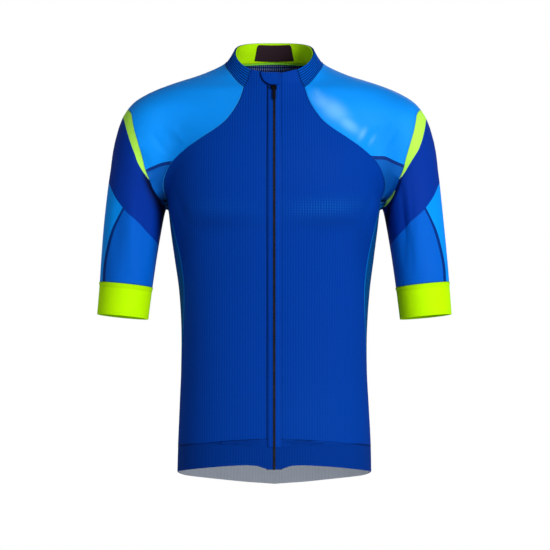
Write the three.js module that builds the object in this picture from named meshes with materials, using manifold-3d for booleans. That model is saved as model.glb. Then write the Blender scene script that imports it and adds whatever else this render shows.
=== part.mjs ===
// A men's cycling jersey, size S, with elbow-length sleeves, filled out as if worn, with no wearer in it.
// Units are millimetres, +Z is up, the front faces -Y and the wearer's left side lies towards +X.
// The origin is midway between the two points where the collar meets the shoulders.
//
// Every cloth piece lies on one smooth garment surface: a stack of torso sections, a stack of neck
// sections and two arm tubes, blended together. Seams are curves on that surface. Each piece is a grid
// of points between its seams, given a wall thickness.
import Module from "manifold-3d";
import * as THREE from "three";
import { mergeVertices } from "three/addons/utils/BufferGeometryUtils.js";

// Cloth and sewing sizes.
const CLOTH = 1.6;
const CUFF_CLOTH = 2.2;
const FACING_CLOTH = 0.9;
const SEAM_GAP = 0.3;
const LAYER_GAP = 0.3;
const INSIDE_GAP = 0.7;

// Horizontal sections of the torso: half width, foremost and rearmost y, y of the widest point, and the
// power of the superellipse (2 is an ellipse, more is boxier).
const TORSO = [
  { z: -700, halfWidth: 149, front: -109, back: 109, middle: 2, power: 2.4 },
  { z: -640, halfWidth: 148, front: -110, back: 108, middle: 2, power: 2.4 },
  { z: -580, halfWidth: 147, front: -107, back: 104, middle: 2, power: 2.4 },
  { z: -520, halfWidth: 144.5, front: -103, back: 96, middle: 1, power: 2.4 },
  { z: -470, halfWidth: 142, front: -100, back: 89, middle: 0, power: 2.4 },
  { z: -410, halfWidth: 141.5, front: -99, back: 86, middle: 0, power: 2.4 },
  { z: -350, halfWidth: 145.5, front: -103, back: 90, middle: 0, power: 2.4 },
  { z: -300, halfWidth: 152.5, front: -109, back: 96, middle: 0, power: 2.4 },
  { z: -250, halfWidth: 159, front: -115, back: 102, middle: 0, power: 2.4 },
  { z: -200, halfWidth: 163, front: -117, back: 107, middle: 1, power: 2.35 },
  { z: -150, halfWidth: 163, front: -111, back: 109, middle: 3, power: 2.25 },
  { z: -110, halfWidth: 160, front: -97, back: 107, middle: 4, power: 2.1 },
  { z: -80, halfWidth: 160, front: -82, back: 102, middle: 5, power: 1.95 },
  { z: -54, halfWidth: 159, front: -66, back: 96, middle: 5, power: 1.8 },
  { z: -43, halfWidth: 154, front: -58, back: 92, middle: 6, power: 1.8 },
  { z: -33, halfWidth: 139, front: -45, back: 88, middle: 6, power: 1.8 },
  { z: -21, halfWidth: 109, front: -34, back: 82, middle: 7, power: 1.8 },
  { z: -11, halfWidth: 90, front: -20, back: 77, middle: 8, power: 1.8 },
  { z: -2, halfWidth: 74, front: -8, back: 72, middle: 10, power: 1.8 },
  { z: 7, halfWidth: 52, front: -2, back: 66, middle: 12, power: 1.8 },
  { z: 20, halfWidth: 30, front: 0, back: 45, middle: 15, power: 2 },
];

// Horizontal sections of the neck, which the collar and the top of the fronts lie on.
const NECK = [
  { z: -80, halfWidth: 86, front: -66, back: 66, middle: 6, power: 2 },
  { z: -54, halfWidth: 82, front: -64, back: 70, middle: 6, power: 2 },
  { z: -26, halfWidth: 80, front: -58, back: 71, middle: 7, power: 2 },
  { z: -3, halfWidth: 73, front: -53, back: 70, middle: 8, power: 2 },
  { z: 10, halfWidth: 65, front: -50, back: 67, middle: 8, power: 2 },
  { z: 24, halfWidth: 58, front: -46, back: 62, middle: 8, power: 2 },
  { z: 44, halfWidth: 53, front: -42, back: 57, middle: 8, power: 2 },
];

// Centre line of the arm at +X, from inside the shoulder to below the cuff, with the half width seen
// from the front and the half depth seen from the side.
const ARM = [
  { x: 96, y: 8, z: -76, across: 44, depth: 48 },
  { x: 140, y: 8, z: -83, across: 47, depth: 52 },
  { x: 180, y: 8, z: -100, across: 52, depth: 56 },
  { x: 196, y: 7, z: -138, across: 51, depth: 57 },
  { x: 205, y: 6, z: -175, across: 47, depth: 54 },
  { x: 213, y: 4, z: -228, across: 45, depth: 51 },
  { x: 221, y: 1, z: -290, across: 42.5, depth: 47 },
  { x: 227, y: -2, z: -345, across: 40.5, depth: 44 },
  { x: 231, y: -5, z: -385, across: 39.5, depth: 43 },
  { x: 235, y: -8, z: -430, across: 38.5, depth: 42 },
];

// How softly the parts of the surface run into each other.
const NECK_BLEND = 12;
const ARMPIT_BLEND = { z: -214, size: 10 };
const SHOULDER_BLEND = { z: -150, size: 42 };

// Collar seam from the front panel's edge round to the middle of the back, at +X.
const NECK_SEAM = [
  { x: 45.5, y: -55, z: -44.3 },
  { x: 51.9, y: -48, z: -39 },
  { x: 59, y: -37, z: -30.8 },
  { x: 65.2, y: -25, z: -21.4 },
  { x: 71.2, y: -8, z: -11.4 },
  { x: 73.6, y: 8, z: -3 },
  { x: 70, y: 28, z: 1.5 },
  { x: 61, y: 44, z: 4 },
];
const NECK_SEAM_BACK = [
  { x: 61, y: 44, z: 4 },
  { x: 42, y: 59, z: 5.5 },
  { x: 20, y: 67, z: 6.3 },
  { x: 0, y: 69, z: 6.5 },
];

// Height of the collar's top edge by its y.
const COLLAR_TOP = [
  { y: -70, z: -27 },
  { y: -57, z: -22.5 },
  { y: -48, z: -15 },
  { y: -25, z: 4 },
  { y: 8, z: 22 },
  { y: 40, z: 32 },
  { y: 60, z: 36 },
  { y: 75, z: 37 },
];
// Where the front panel's slanting join meets the top edge, in plan.
const FRONT_TOP_CORNER = { x: 33.8, y: -48 };

// Seam between the front and the shoulder panel, seen from the front, from below the collar to the
// armpit, and the same seam on the back.
const FRONT_SEAM = [
  { x: 52, z: -63.5 },
  { x: 61, z: -80 },
  { x: 73.5, z: -96 },
  { x: 87.5, z: -107 },
  { x: 102.5, z: -116.7 },
  { x: 119, z: -127.5 },
  { x: 134, z: -138 },
  { x: 146, z: -148 },
  { x: 155.5, z: -158 },
  { x: 162, z: -169 },
  { x: 166.5, z: -181 },
  { x: 167.5, z: -193 },
  { x: 165, z: -205 },
  { x: 161, z: -217 },
];
const BACK_SEAM = [
  { x: 62, z: -30 },
  { x: 70, z: -66 },
  { x: 84, z: -95 },
  { x: 104, z: -118 },
  { x: 126, z: -137 },
  { x: 146, z: -157 },
  { x: 160, z: -180 },
  { x: 165.5, z: -200 },
  { x: 161, z: -217 },
];

// Armhole, seen from the front and from the back, from the top of the shoulder to the armpit.
const ARMHOLE_TOP = { x: 224, y: 12 };
const ARMHOLE_FRONT = [
  { x: 217, z: -81 },
  { x: 214.5, z: -92 },
  { x: 211, z: -108 },
  { x: 205.5, z: -126 },
  { x: 200, z: -145 },
  { x: 194, z: -166 },
  { x: 187, z: -184 },
  { x: 179, z: -200 },
  { x: 170, z: -214 },
];
const ARMHOLE_BACK = [
  { x: 220, z: -93 },
  { x: 213, z: -116 },
  { x: 205, z: -140 },
  { x: 197, z: -163 },
  { x: 186, z: -188 },
  { x: 170, z: -214 },
];
const ARMHOLE_UNDER = { x: 166, y: 4 };

// Front edge of the side panel by height; the back edge mirrors it about the side's own middle.
const SIDE_EDGE = [
  { z: -240, y: -38 },
  { z: -270, y: -49 },
  { z: -300, y: -53 },
  { z: -335, y: -51 },
  { z: -375, y: -43 },
  { z: -415, y: -32 },
  { z: -450, y: -23 },
  { z: -490, y: -16 },
  { z: -540, y: -13 },
];
const SIDE_MIDDLE_Y = 2;

// Hem seam and hem edge by compass angle about the torso: 0 is the front, 90 the side, 180 the back.
const HEM = [
  { angle: 0, seam: -567.5, edge: -613.5 },
  { angle: 6, seam: -567.5, edge: -612 },
  { angle: 14, seam: -568, edge: -607.5 },
  { angle: 30, seam: -570, edge: -608 },
  { angle: 50, seam: -575, edge: -613 },
  { angle: 75, seam: -583, edge: -622 },
  { angle: 90, seam: -587, edge: -627 },
  { angle: 115, seam: -595, edge: -640 },
  { angle: 150, seam: -606, edge: -652 },
  { angle: 180, seam: -610, edge: -657 },
];
// Compass angle at which the side panel's front seam reaches the hem seam.
const SIDE_ANGLE = 84.5;

// Cuffs: how far down the arm's centre line their top seam and lower edge lie, and the proud rib at
// the top seam.
const CUFF_TOP_Z = -341;
const CUFF_EDGE_Z = -390;
const CUFF_RIB = 0.8;

// Collar ribs, parallel to its edge.
const COLLAR_RIBS = 8;
const COLLAR_RIB_HEIGHT = 0.7;

// Zip: chain between the fronts, tape behind them, and the raised strip along each front's edge.
const CHAIN_WIDTH = 3.4;
const CHAIN_RISE = 0.3;
const TAPE_WIDTH = 24;
const TAPE_CLOTH = 0.8;
const STRIP_WIDTH = 7.5;
const STRIP_RISE = 0.7;

// Zip garage: a flap from the left front's top over the zip's end.
const GARAGE = { left: -19.5, right: 7, top: -22, bottom: -41.5, roundness: 0.98, cloth: 0.9, clear: 0.8 };

// Slider, a channel with a pin between its two cheeks, and the ridged pull tab that turns on the pin.
const SLIDER = { z: -46.2, width: 7.4, length: 7.4, base: 1.4, cheek: 0.9, rise: 2.5, pin: 0.5, pinUp: 1.7 };
const PULL = { width: 4.8, length: 18.5, thickness: 1.6, eye: 1.2, hole: 0.8, ridges: 7, ridge: 0.3 };

// Folded edge, label and tape inside the back of the neck.
const TAPE_HEIGHT = 3;
const LABEL = { halfWidth: 32.5, bottom: 9.5, top: 33, corner: 6, cloth: 0.6, nearY: 60 };

// Patch of three flat pockets on the lower back: its first row and its columns in from each side, in the
// back panel's grid.
const POCKET = { firstRow: 20, sideColumn: 1 };

// Largest creases: soft ridges (positive) and troughs (negative) between two points, at +X.
const FOLDS = [
  { x: 214, y: -48, z: -190, toX: 214, toY: -46, toZ: -330, width: 9, height: 2.2 },
  { x: 234, y: -40, z: -210, toX: 238, toY: -38, toZ: -320, width: 10, height: -2 },
  { x: 196, y: -40, z: -215, toX: 203, toY: -38, toZ: -320, width: 8, height: -2 },
  { x: 172, y: -62, z: -186, toX: 196, toY: -56, toZ: -150, width: 8, height: -3 },
  { x: 160, y: -66, z: -172, toX: 186, toY: -66, toZ: -132, width: 8, height: 2.2 },
  { x: 182, y: 50, z: -200, toX: 200, toY: 58, toZ: -150, width: 10, height: -2.5 },
  { x: 215, y: 54, z: -200, toX: 222, toY: 48, toZ: -320, width: 11, height: -2 },
];

// Points along each seam and across each piece, and how far a panel's columns crowd towards its seam.
const SEAM_CROWDING = 1.2;
const ARMHOLE_GROWTH = 1.25;
const COUNT = {
  junction: 4,
  seam: 12,
  collar: 8,
  neckBack: 6,
  underarm: 4,
  side: 14,
  front: 10,
  shoulder: 7,
  sleeve: 10,
  cuff: 2,
  hem: 2,
};

// Table reading: a smooth value at any place along a table.
function read(table, key, column, place) {
  const last = table.length - 1;
  const rising = table[last][key] > table[0][key];
  let i = table.findIndex((row, k) => k > 0 && (rising ? row[key] >= place : row[key] <= place));
  if (i < 0) i = last;
  const [a, b] = [table[i - 1], table[i]];
  const [before, after] = [table[Math.max(i - 2, 0)], table[Math.min(i + 1, last)]];
  const span = b[key] - a[key];
  const t = THREE.MathUtils.clamp((place - a[key]) / span, 0, 1);
  const slopeA = (b[column] - before[column]) / (b[key] - before[key]);
  const slopeB = (after[column] - a[column]) / (after[key] - a[key]);
  const [t2, t3] = [t * t, t * t * t];
  return (
    a[column] * (2 * t3 - 3 * t2 + 1) +
    slopeA * span * (t3 - 2 * t2 + t) +
    b[column] * (3 * t2 - 2 * t3) +
    slopeB * span * (t3 - t2)
  );
}

// A table filled in at close, even steps, for quick reading.
function fillIn(table, key, step) {
  const columns = Object.keys(table[0]).filter((name) => name !== key);
  const start = table[0][key];
  const rows = Math.ceil((table[table.length - 1][key] - start) / step);
  const dense = [];
  for (let i = 0; i <= rows; i += 1) {
    const place = start + i * step;
    dense.push(columns.map((name) => read(table, key, name, place)));
  }
  return { start, step, dense };
}

const torsoStack = fillIn(TORSO, "z", 2);
const neckStack = fillIn(NECK, "z", 2);

function sectionAt(stack, z) {
  const place = THREE.MathUtils.clamp((z - stack.start) / stack.step, 0, stack.dense.length - 1.001);
  const i = Math.floor(place);
  const t = place - i;
  return stack.dense[i].map((value, k) => value + (stack.dense[i + 1][k] - value) * t);
}

// Distance from a stack of sections, measured along the ray from the section's middle.
function stackDistance(stack, x, y, z) {
  const [halfWidth, front, back, middle, power] = sectionAt(stack, z);
  const depth = y < middle ? middle - front : back - middle;
  const across = Math.abs(x) / halfWidth;
  const along = Math.abs(y - middle) / depth;
  const share = Math.pow(Math.pow(across, power) + Math.pow(along, power), 1 / power);
  return Math.hypot(x, y - middle) * (1 - 1 / Math.max(share, 0.05));
}

// The arm's centre line as short straight steps, with its half width and half depth.
const ARM_STEPS = 36;
const armCurve = new THREE.CatmullRomCurve3(ARM.map((row) => new THREE.Vector3(row.x, row.y, row.z)));
const armLine = Array.from({ length: ARM_STEPS + 1 }, (_, i) => {
  const t = i / ARM_STEPS;
  const place = t * (ARM.length - 1);
  const k = Math.min(Math.floor(place), ARM.length - 2);
  const mix = (column) => ARM[k][column] + (ARM[k + 1][column] - ARM[k][column]) * (place - k);
  return { at: armCurve.getPoint(t), across: mix("across"), depth: mix("depth") };
});

function armDistance(x, y, z) {
  let best = Infinity;
  let found = null;
  for (let i = 0; i < ARM_STEPS; i += 1) {
    const [a, b] = [armLine[i], armLine[i + 1]];
    const [dx, dy, dz] = [b.at.x - a.at.x, b.at.y - a.at.y, b.at.z - a.at.z];
    const length2 = dx * dx + dy * dy + dz * dz;
    const dot = (x - a.at.x) * dx + (y - a.at.y) * dy + (z - a.at.z) * dz;
    const t = THREE.MathUtils.clamp(dot / length2, 0, 1);
    const [vx, vy, vz] = [x - a.at.x - dx * t, y - a.at.y - dy * t, z - a.at.z - dz * t];
    const near = vx * vx + vy * vy + vz * vz;
    if (near < best) {
      best = near;
      found = { a, b, t, vx, vy, vz };
    }
  }
  const across = found.a.across + (found.b.across - found.a.across) * found.t;
  const depth = found.a.depth + (found.b.depth - found.a.depth) * found.t;
  const share = Math.hypot(Math.hypot(found.vx, found.vz) / across, found.vy / depth);
  return Math.sqrt(best) * (1 - 1 / Math.max(share, 0.05));
}

function softMin(a, b, size) {
  const overlap = Math.max(size - Math.abs(a - b), 0) / size;
  return Math.min(a, b) - (overlap * overlap * size) / 4;
}

// The garment surface is where this is 0; it is negative inside.
function garment(x, y, z) {
  const torso = stackDistance(torsoStack, x, y, z);
  const neck = stackDistance(neckStack, x, y, z);
  const arm = armDistance(Math.abs(x), y, z);
  const rise = THREE.MathUtils.smoothstep(z, ARMPIT_BLEND.z, SHOULDER_BLEND.z);
  const armBlend = THREE.MathUtils.lerp(ARMPIT_BLEND.size, SHOULDER_BLEND.size, rise);
  return softMin(softMin(torso, neck, NECK_BLEND), arm, armBlend);
}

// Direction in which the surface's distance grows, which is outwards.
const PROBE = 0.5;
function slope(p) {
  return new THREE.Vector3(
    garment(p.x + PROBE, p.y, p.z) - garment(p.x - PROBE, p.y, p.z),
    garment(p.x, p.y + PROBE, p.z) - garment(p.x, p.y - PROBE, p.z),
    garment(p.x, p.y, p.z + PROBE) - garment(p.x, p.y, p.z - PROBE),
  ).divideScalar(2 * PROBE);
}

// Moves a point onto the surface along the surface's own slope, or along the level part of it.
const SETTLE = { tries: 16, longest: 14, near: 1e-4, leastSlope: 0.3 };
function settle(p, level = false) {
  const q = p.clone();
  for (let i = 0; i < SETTLE.tries; i += 1) {
    const g = slope(q);
    if (level) g.setZ(0);
    const away = garment(q.x, q.y, q.z) / Math.max(g.length(), SETTLE.leastSlope);
    q.addScaledVector(g.normalize(), -THREE.MathUtils.clamp(away, -SETTLE.longest, SETTLE.longest));
    if (Math.abs(away) < SETTLE.near) break;
  }
  return q;
}
const settleLevel = (p) => settle(p, true);

// Goes from a point inside, in one direction, to the surface.
const CAST = { step: 3, farthest: 400, halvings: 24 };
function castFrom(start, direction) {
  const reach = (d) => {
    const p = start.clone().addScaledVector(direction, d);
    return garment(p.x, p.y, p.z);
  };
  let far = 0;
  while (reach(far) < 0 && far < CAST.farthest) far += CAST.step;
  let near = Math.max(far - CAST.step, 0);
  for (let i = 0; i < CAST.halvings; i += 1) {
    const half = (near + far) / 2;
    if (reach(half) < 0) near = half;
    else far = half;
  }
  return start.clone().addScaledVector(direction, far);
}

// Where lines of sight from each side meet the surface. They start inside the garment.
const INSIDE_Y = 4;
const ABOVE_ELBOW_Z = -110;
const ABOVE_ARMPIT_Z = -190;
const ACROSS = new THREE.Vector3(1, 0, 0);
const BACKWARD = new THREE.Vector3(0, 1, 0);
const UP = new THREE.Vector3(0, 0, 1);
const FORWARD = BACKWARD.clone().negate();
const DOWN = UP.clone().negate();
const fromFront = ({ x, z }) => castFrom(new THREE.Vector3(x, INSIDE_Y, z), FORWARD);
const fromBack = ({ x, z }) => castFrom(new THREE.Vector3(x, INSIDE_Y, z), BACKWARD);
const fromAbove = ({ x, y }) => castFrom(new THREE.Vector3(x, y, ABOVE_ELBOW_Z), UP);
const fromBelow = ({ x, y }) => castFrom(new THREE.Vector3(x, y, ABOVE_ARMPIT_Z), DOWN);
const fromSide = ({ y, z }) => castFrom(new THREE.Vector3(0, y, z), ACROSS);
const inSpace = (row) => settle(new THREE.Vector3(row.x, row.y, row.z));

// The point at a compass angle about the torso, at a height.
function around(angle, z) {
  const turn = THREE.MathUtils.degToRad(angle);
  const start = new THREE.Vector3(0, SIDE_MIDDLE_Y, z);
  return castFrom(start, new THREE.Vector3(Math.sin(turn), -Math.cos(turn), 0));
}

// A smooth line through points, laid onto the surface. A growth of 1 gives equal steps, and a larger
// one gives longer steps towards the end.
function line(points, steps, growth = 1) {
  const curve = new THREE.CatmullRomCurve3(points, false, "centripetal");
  return Array.from({ length: steps + 1 }, (_, i) => settle(curve.getPointAt((i / steps) ** growth)));
}

const joined = (...lines) => lines.flatMap((points, i) => (i ? points.slice(1) : points));
const reversed = (points) => [...points].reverse();

// Seams of the half at +X.
const neckSide = line(NECK_SEAM.map(inSpace), COUNT.collar);
const neckBack = line(NECK_SEAM_BACK.map(inSpace), COUNT.neckBack);
neckBack[COUNT.neckBack].x = 0;

// The point of the collar's top edge at a plan angle about the neck: 0 is the front, 180 the back. Its
// height follows its y, so it is found in a few eased tries.
const NECK_MIDDLE_Y = 8;
const EDGE_SEARCH = { startZ: 10, tries: 30, ease: 0.6 };
function collarEdgeAt(angle) {
  const direction = new THREE.Vector3(Math.sin(angle), -Math.cos(angle), 0);
  let z = EDGE_SEARCH.startZ;
  let p = null;
  for (let i = 0; i < EDGE_SEARCH.tries; i += 1) {
    p = castFrom(new THREE.Vector3(0, NECK_MIDDLE_Y, z), direction);
    z += (read(COLLAR_TOP, "y", "z", p.y) - z) * EDGE_SEARCH.ease;
  }
  return p;
}
const planAngle = (p) => Math.atan2(p.x, NECK_MIDDLE_Y - p.y);

// Slanting join between the front panel and the collar, from the top edge down to the seam.
const topCornerAngle = planAngle(FRONT_TOP_CORNER);
const junction = line([collarEdgeAt(topCornerAngle), neckSide[0]], COUNT.junction);

const seamFront = line([neckSide[0], ...FRONT_SEAM.map(fromFront)], COUNT.seam);
const seamBack = line([neckSide[COUNT.collar], ...BACK_SEAM.map(fromBack)], COUNT.seam);

const armholeTop = fromAbove(ARMHOLE_TOP);
const underarm = fromBelow(ARMHOLE_UNDER);
const ringSteps = COUNT.seam + COUNT.collar / 2;
const armholeFront = line([armholeTop, ...ARMHOLE_FRONT.map(fromFront)], ringSteps, ARMHOLE_GROWTH);
const armholeBack = line([armholeTop, ...ARMHOLE_BACK.map(fromBack)], ringSteps, ARMHOLE_GROWTH);
const armholeBottom = line([armholeFront[ringSteps], underarm, armholeBack[ringSteps]], COUNT.underarm);

// Equal steps between two values, or steps that crowd towards the second one.
const crowded = (share, crowding) => 1 - (1 - share) ** crowding;
function spread(from, to, steps, crowding = 1) {
  return Array.from({ length: steps + 1 }, (_, k) => from + (to - from) * crowded(k / steps, crowding));
}

// Hem seam and hem edge points, at the compass angles of the panels' columns.
const zipX = (CHAIN_WIDTH + SEAM_GAP) / 2;
const stripX = zipX + STRIP_WIDTH;
const frontDepth = SIDE_MIDDLE_Y - around(0, HEM[0].seam).y;
const angleOf = (x) => THREE.MathUtils.radToDeg(Math.atan2(x, frontDepth));
const acrossSide = COUNT.underarm + 2;
const hemAngles = {
  front: [angleOf(zipX), ...spread(angleOf(stripX), SIDE_ANGLE, COUNT.front - 1, SEAM_CROWDING)],
  side: spread(SIDE_ANGLE, 180 - SIDE_ANGLE, acrossSide),
  back: reversed(spread(180, 180 - SIDE_ANGLE, COUNT.neckBack, SEAM_CROWDING)),
};
function hemRun(column) {
  const at = (angle) => around(angle, read(HEM, "angle", column, angle));
  const lines = Object.entries(hemAngles).map(([part, angles]) => [part, angles.map(at)]);
  return Object.fromEntries(lines);
}
const hemSeam = hemRun("seam");
const hemEdge = hemRun("edge");

// Seams of the side panel.
const frontSideEdge = line(
  [seamFront[COUNT.seam], ...SIDE_EDGE.map(fromSide), hemSeam.side[0]],
  COUNT.side,
);
const backSideEdge = line(
  [
    seamBack[COUNT.seam],
    ...SIDE_EDGE.map(({ y, z }) => fromSide({ y: 2 * SIDE_MIDDLE_Y - y, z })),
    hemSeam.side[acrossSide],
  ],
  COUNT.side,
);

// Sleeve rings. Column 0 is the outside of the arm, and the columns go round by the front.
const armhole = joined(armholeFront, armholeBottom, reversed(armholeBack)).slice(0, -1);
const ringCount = armhole.length;
function armRing(z) {
  const near = armLine.reduce((best, s) => (Math.abs(s.at.z - z) < Math.abs(best.at.z - z) ? s : best));
  const next = armLine[armLine.indexOf(near) - 1];
  const along = near.at.clone().sub(next.at).normalize();
  const middle = near.at.clone().addScaledVector(along, (z - near.at.z) / along.z);
  const outside = new THREE.Vector3(1, 0, 0).addScaledVector(along, -along.x).normalize();
  const front = along.clone().cross(outside);
  return armhole.map((_, j) => {
    const turn = (2 * Math.PI * j) / ringCount;
    const direction = outside.clone().multiplyScalar(Math.cos(turn));
    direction.addScaledVector(front, Math.sin(turn));
    return castFrom(middle, direction);
  });
}
const cuffTop = armRing(CUFF_TOP_Z);
const cuffEdge = armRing(CUFF_EDGE_Z);

// Rungs between two edges, straight ones laid onto the surface, or level sweeps round the torso.
function rungs(edgeA, edgeB, steps, crowding, place) {
  return edgeA.map((a, i) => {
    const b = edgeB[i];
    const inner = spread(0, 1, steps, crowding).slice(1, -1);
    return [a.clone(), ...inner.map((share) => place(a, b, share)), b.clone()];
  });
}
function between(edgeA, edgeB, steps) {
  return rungs(edgeA, edgeB, steps, 1, (a, b, share) => settle(a.clone().lerp(b, share)));
}
const compass = (p) => THREE.MathUtils.radToDeg(Math.atan2(p.x, SIDE_MIDDLE_Y - p.y));
function swept(edgeA, edgeB, steps) {
  const { lerp } = THREE.MathUtils;
  return rungs(edgeA, edgeB, steps, SEAM_CROWDING, (a, b, share) =>
    around(lerp(compass(a), compass(b), share), lerp(a.z, b.z, share)),
  );
}
const transposed = (grid) => grid[0].map((_, j) => grid.map((row) => row[j]));
const acrossX = (p) => new THREE.Vector3(-p.x, p.y, p.z);
const mirrored = (grid) => grid.map((row) => row.map(acrossX));

// Draws the open edges of a grid in by half a seam gap.
function drawnIn(grid, closed) {
  const rows = grid.length;
  const columns = grid[0].length;
  const out = grid.map((row) => row.map((p) => p.clone()));
  const towards = (i, j, k, l) => {
    const step = grid[k][l].clone().sub(grid[i][j]);
    out[i][j].addScaledVector(step.normalize(), SEAM_GAP / 2);
  };
  for (let j = 0; j < columns; j += 1) {
    towards(0, j, 1, j);
    towards(rows - 1, j, rows - 2, j);
  }
  if (!closed)
    for (let i = 0; i < rows; i += 1) {
      towards(i, 0, i, 1);
      towards(i, columns - 1, i, columns - 2);
    }
  return out;
}

// How far the creases lift or sink the cloth at a point.
function foldHeight(p) {
  const q = new THREE.Vector3(Math.abs(p.x), p.y, p.z);
  const nearest = new THREE.Vector3();
  return FOLDS.reduce((sum, fold) => {
    const from = new THREE.Vector3(fold.x, fold.y, fold.z);
    const to = new THREE.Vector3(fold.toX, fold.toY, fold.toZ);
    const run = new THREE.Line3(from, to);
    const share = run.closestPointToPointParameter(q, true);
    run.at(share, nearest);
    const taper = 4 * share * (1 - share);
    return sum + fold.height * taper * Math.exp(-((q.distanceTo(nearest) / fold.width) ** 2));
  }, 0);
}

// A wall from a grid: the outer face lies at "lift" above the surface, and the inner face "thickness"
// below that. raise(row, column) adds to the outer face alone. "turned" is for a grid whose rows and
// columns run the other way round the surface.
function wall(grid, options = {}) {
  const { closed = false, lift = 0, thickness = CLOTH, raise = () => 0, turned = false } = options;
  const trimmed = drawnIn(grid, closed);
  const rows = trimmed.length;
  const columns = trimmed[0].length;
  const outer = [];
  const inner = [];
  trimmed.forEach((row, i) =>
    row.forEach((p, j) => {
      const n = slope(grid[i][j]).normalize();
      const height = lift + foldHeight(grid[i][j]);
      outer.push(p.clone().addScaledVector(n, height + raise(i, j)));
      inner.push(p.clone().addScaledVector(n, height - thickness));
    }),
  );
  const points = [...outer, ...inner];
  const faces = wallFaces(points, rows, columns, closed);
  return solid(points, turned ? turnedOver(faces) : faces);
}

// Triangles of a wall: the outer face, the inner face under it and the rim. Each four-sided patch is
// split along its shorter diagonal.
function wallFaces(points, rows, columns, closed) {
  const under = rows * columns;
  const at = (i, j) => i * columns + (j % columns);
  const faces = [];
  const apart = (a, b) => points[a].distanceToSquared(points[b]);
  const quad = (a, b, c, d) => {
    if (apart(a, c) <= apart(b, d)) faces.push([a, b, c], [a, c, d]);
    else faces.push([a, b, d], [b, c, d]);
  };
  const lastColumn = closed ? columns : columns - 1;
  for (let j = 0; j < lastColumn; j += 1) {
    for (let i = 0; i < rows - 1; i += 1) {
      const [a, b, c, d] = [at(i, j), at(i + 1, j), at(i + 1, j + 1), at(i, j + 1)];
      quad(a, b, c, d);
      quad(under + a, under + d, under + c, under + b);
    }
    quad(at(0, j), at(0, j + 1), under + at(0, j + 1), under + at(0, j));
    const end = rows - 1;
    quad(at(end, j + 1), at(end, j), under + at(end, j), under + at(end, j + 1));
  }
  if (closed) return faces;
  for (let i = 0; i < rows - 1; i += 1) {
    quad(at(i + 1, 0), at(i, 0), under + at(i, 0), under + at(i + 1, 0));
    const end = columns - 1;
    quad(at(i, end), at(i + 1, end), under + at(i + 1, end), under + at(i, end));
  }
  return faces;
}
const turnedOver = (faces) => faces.map(([a, b, c]) => [a, c, b]);

function solid(points, faces) {
  const geometry = new THREE.BufferGeometry();
  const flat = points.flatMap((p) => [p.x, p.y, p.z]);
  geometry.setAttribute("position", new THREE.Float32BufferAttribute(flat, 3));
  geometry.setIndex(faces.flat());
  geometry.computeVertexNormals();
  return geometry;
}

const COLOURS = {
  mesh: 0x06379e,
  bright: 0x0590f5,
  band: 0x0535a4,
  panel: 0x0560b0,
  neon: 0xb8fb05,
  label: 0x231c26,
  zip: 0x14141a,
};
const jersey = new THREE.Group();

function add(name, geometry, colour, metalness = 0) {
  const material = new THREE.MeshStandardMaterial({ color: colour, roughness: 0.75, metalness });
  const mesh = new THREE.Mesh(geometry, material);
  mesh.name = name;
  jersey.add(mesh);
  return mesh;
}

// Adds the piece of the +X half as the left one and its mirror as the right one.
function addPair(name, grid, colour, options = {}) {
  add(name + "_left", wall(grid, options), colour);
  add(name + "_right", wall(mirrored(grid), { ...options, turned: !options.turned }), colour);
}

// Fronts, from the middle to the side, with a raised strip along the zip.
const frontSide = joined(junction, seamFront, frontSideEdge);
const zipTop = collarEdgeAt(0);
const frontMiddle = frontSide.map((p, i) => {
  if (i === frontSide.length - 1) return hemSeam.front[0];
  const top = THREE.MathUtils.clamp(1 - i / COUNT.junction, 0, 1);
  return fromFront({ x: zipX, z: THREE.MathUtils.lerp(p.z, zipTop.z, top) });
});
const stripEdge = frontMiddle.map(({ z }) => fromFront({ x: stripX, z }));
const frontGrid = swept(stripEdge, frontSide, COUNT.front - 1).map((row, i) => [frontMiddle[i], ...row]);
frontGrid[frontGrid.length - 1] = hemSeam.front;
addPair("front", frontGrid, COLOURS.mesh, { raise: (i, j) => (j === 0 ? STRIP_RISE : 0) });

// Side panels, from the underarm to the hem.
const sideTop = [seamFront[COUNT.seam], ...armholeBottom, seamBack[COUNT.seam]];
const sideGrid = between(frontSideEdge, backSideEdge, acrossSide);
sideGrid[0] = sideTop;
sideGrid[COUNT.side] = hemSeam.side;
addPair("side", sideGrid, COLOURS.panel);

// Back, from the right side over the middle to the left side.
const backSide = joined(seamBack, backSideEdge);
const backMiddle = backSide.map((p, i) => {
  const top = THREE.MathUtils.clamp(1 - i / COUNT.seam, 0, 1);
  const z = THREE.MathUtils.lerp(p.z, neckBack[COUNT.neckBack].z, top * top);
  return fromBack({ x: 0, z });
});
const backHalf = swept(backMiddle, backSide, COUNT.neckBack);
backHalf[0] = reversed(neckBack);
backHalf[backHalf.length - 1] = reversed(hemSeam.back);
const wholeRow = (row) => [...reversed(row).map(acrossX), ...row.slice(1)];
const backGrid = backHalf.map(wholeRow);
add("back", wall(backGrid, { turned: true }), COLOURS.mesh);

// Shoulder panels, over the shoulder from the front underarm to the back underarm.
const bodyEdge = joined(reversed(seamFront), neckSide, seamBack);
const armholeOver = joined(reversed(armholeFront), armholeBack);
addPair("shoulder", between(bodyEdge, armholeOver, COUNT.shoulder), COLOURS.bright, { turned: true });

// Sleeves and cuffs.
addPair("sleeve", transposed(between(armhole, cuffTop, COUNT.sleeve)), COLOURS.band, {
  closed: true,
  turned: true,
});
addPair("cuff", transposed(between(cuffTop, cuffEdge, COUNT.cuff)), COLOURS.neon, {
  closed: true,
  turned: true,
  thickness: CUFF_CLOTH,
  raise: (i) => (i === 0 ? CUFF_RIB : 0),
});

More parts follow.
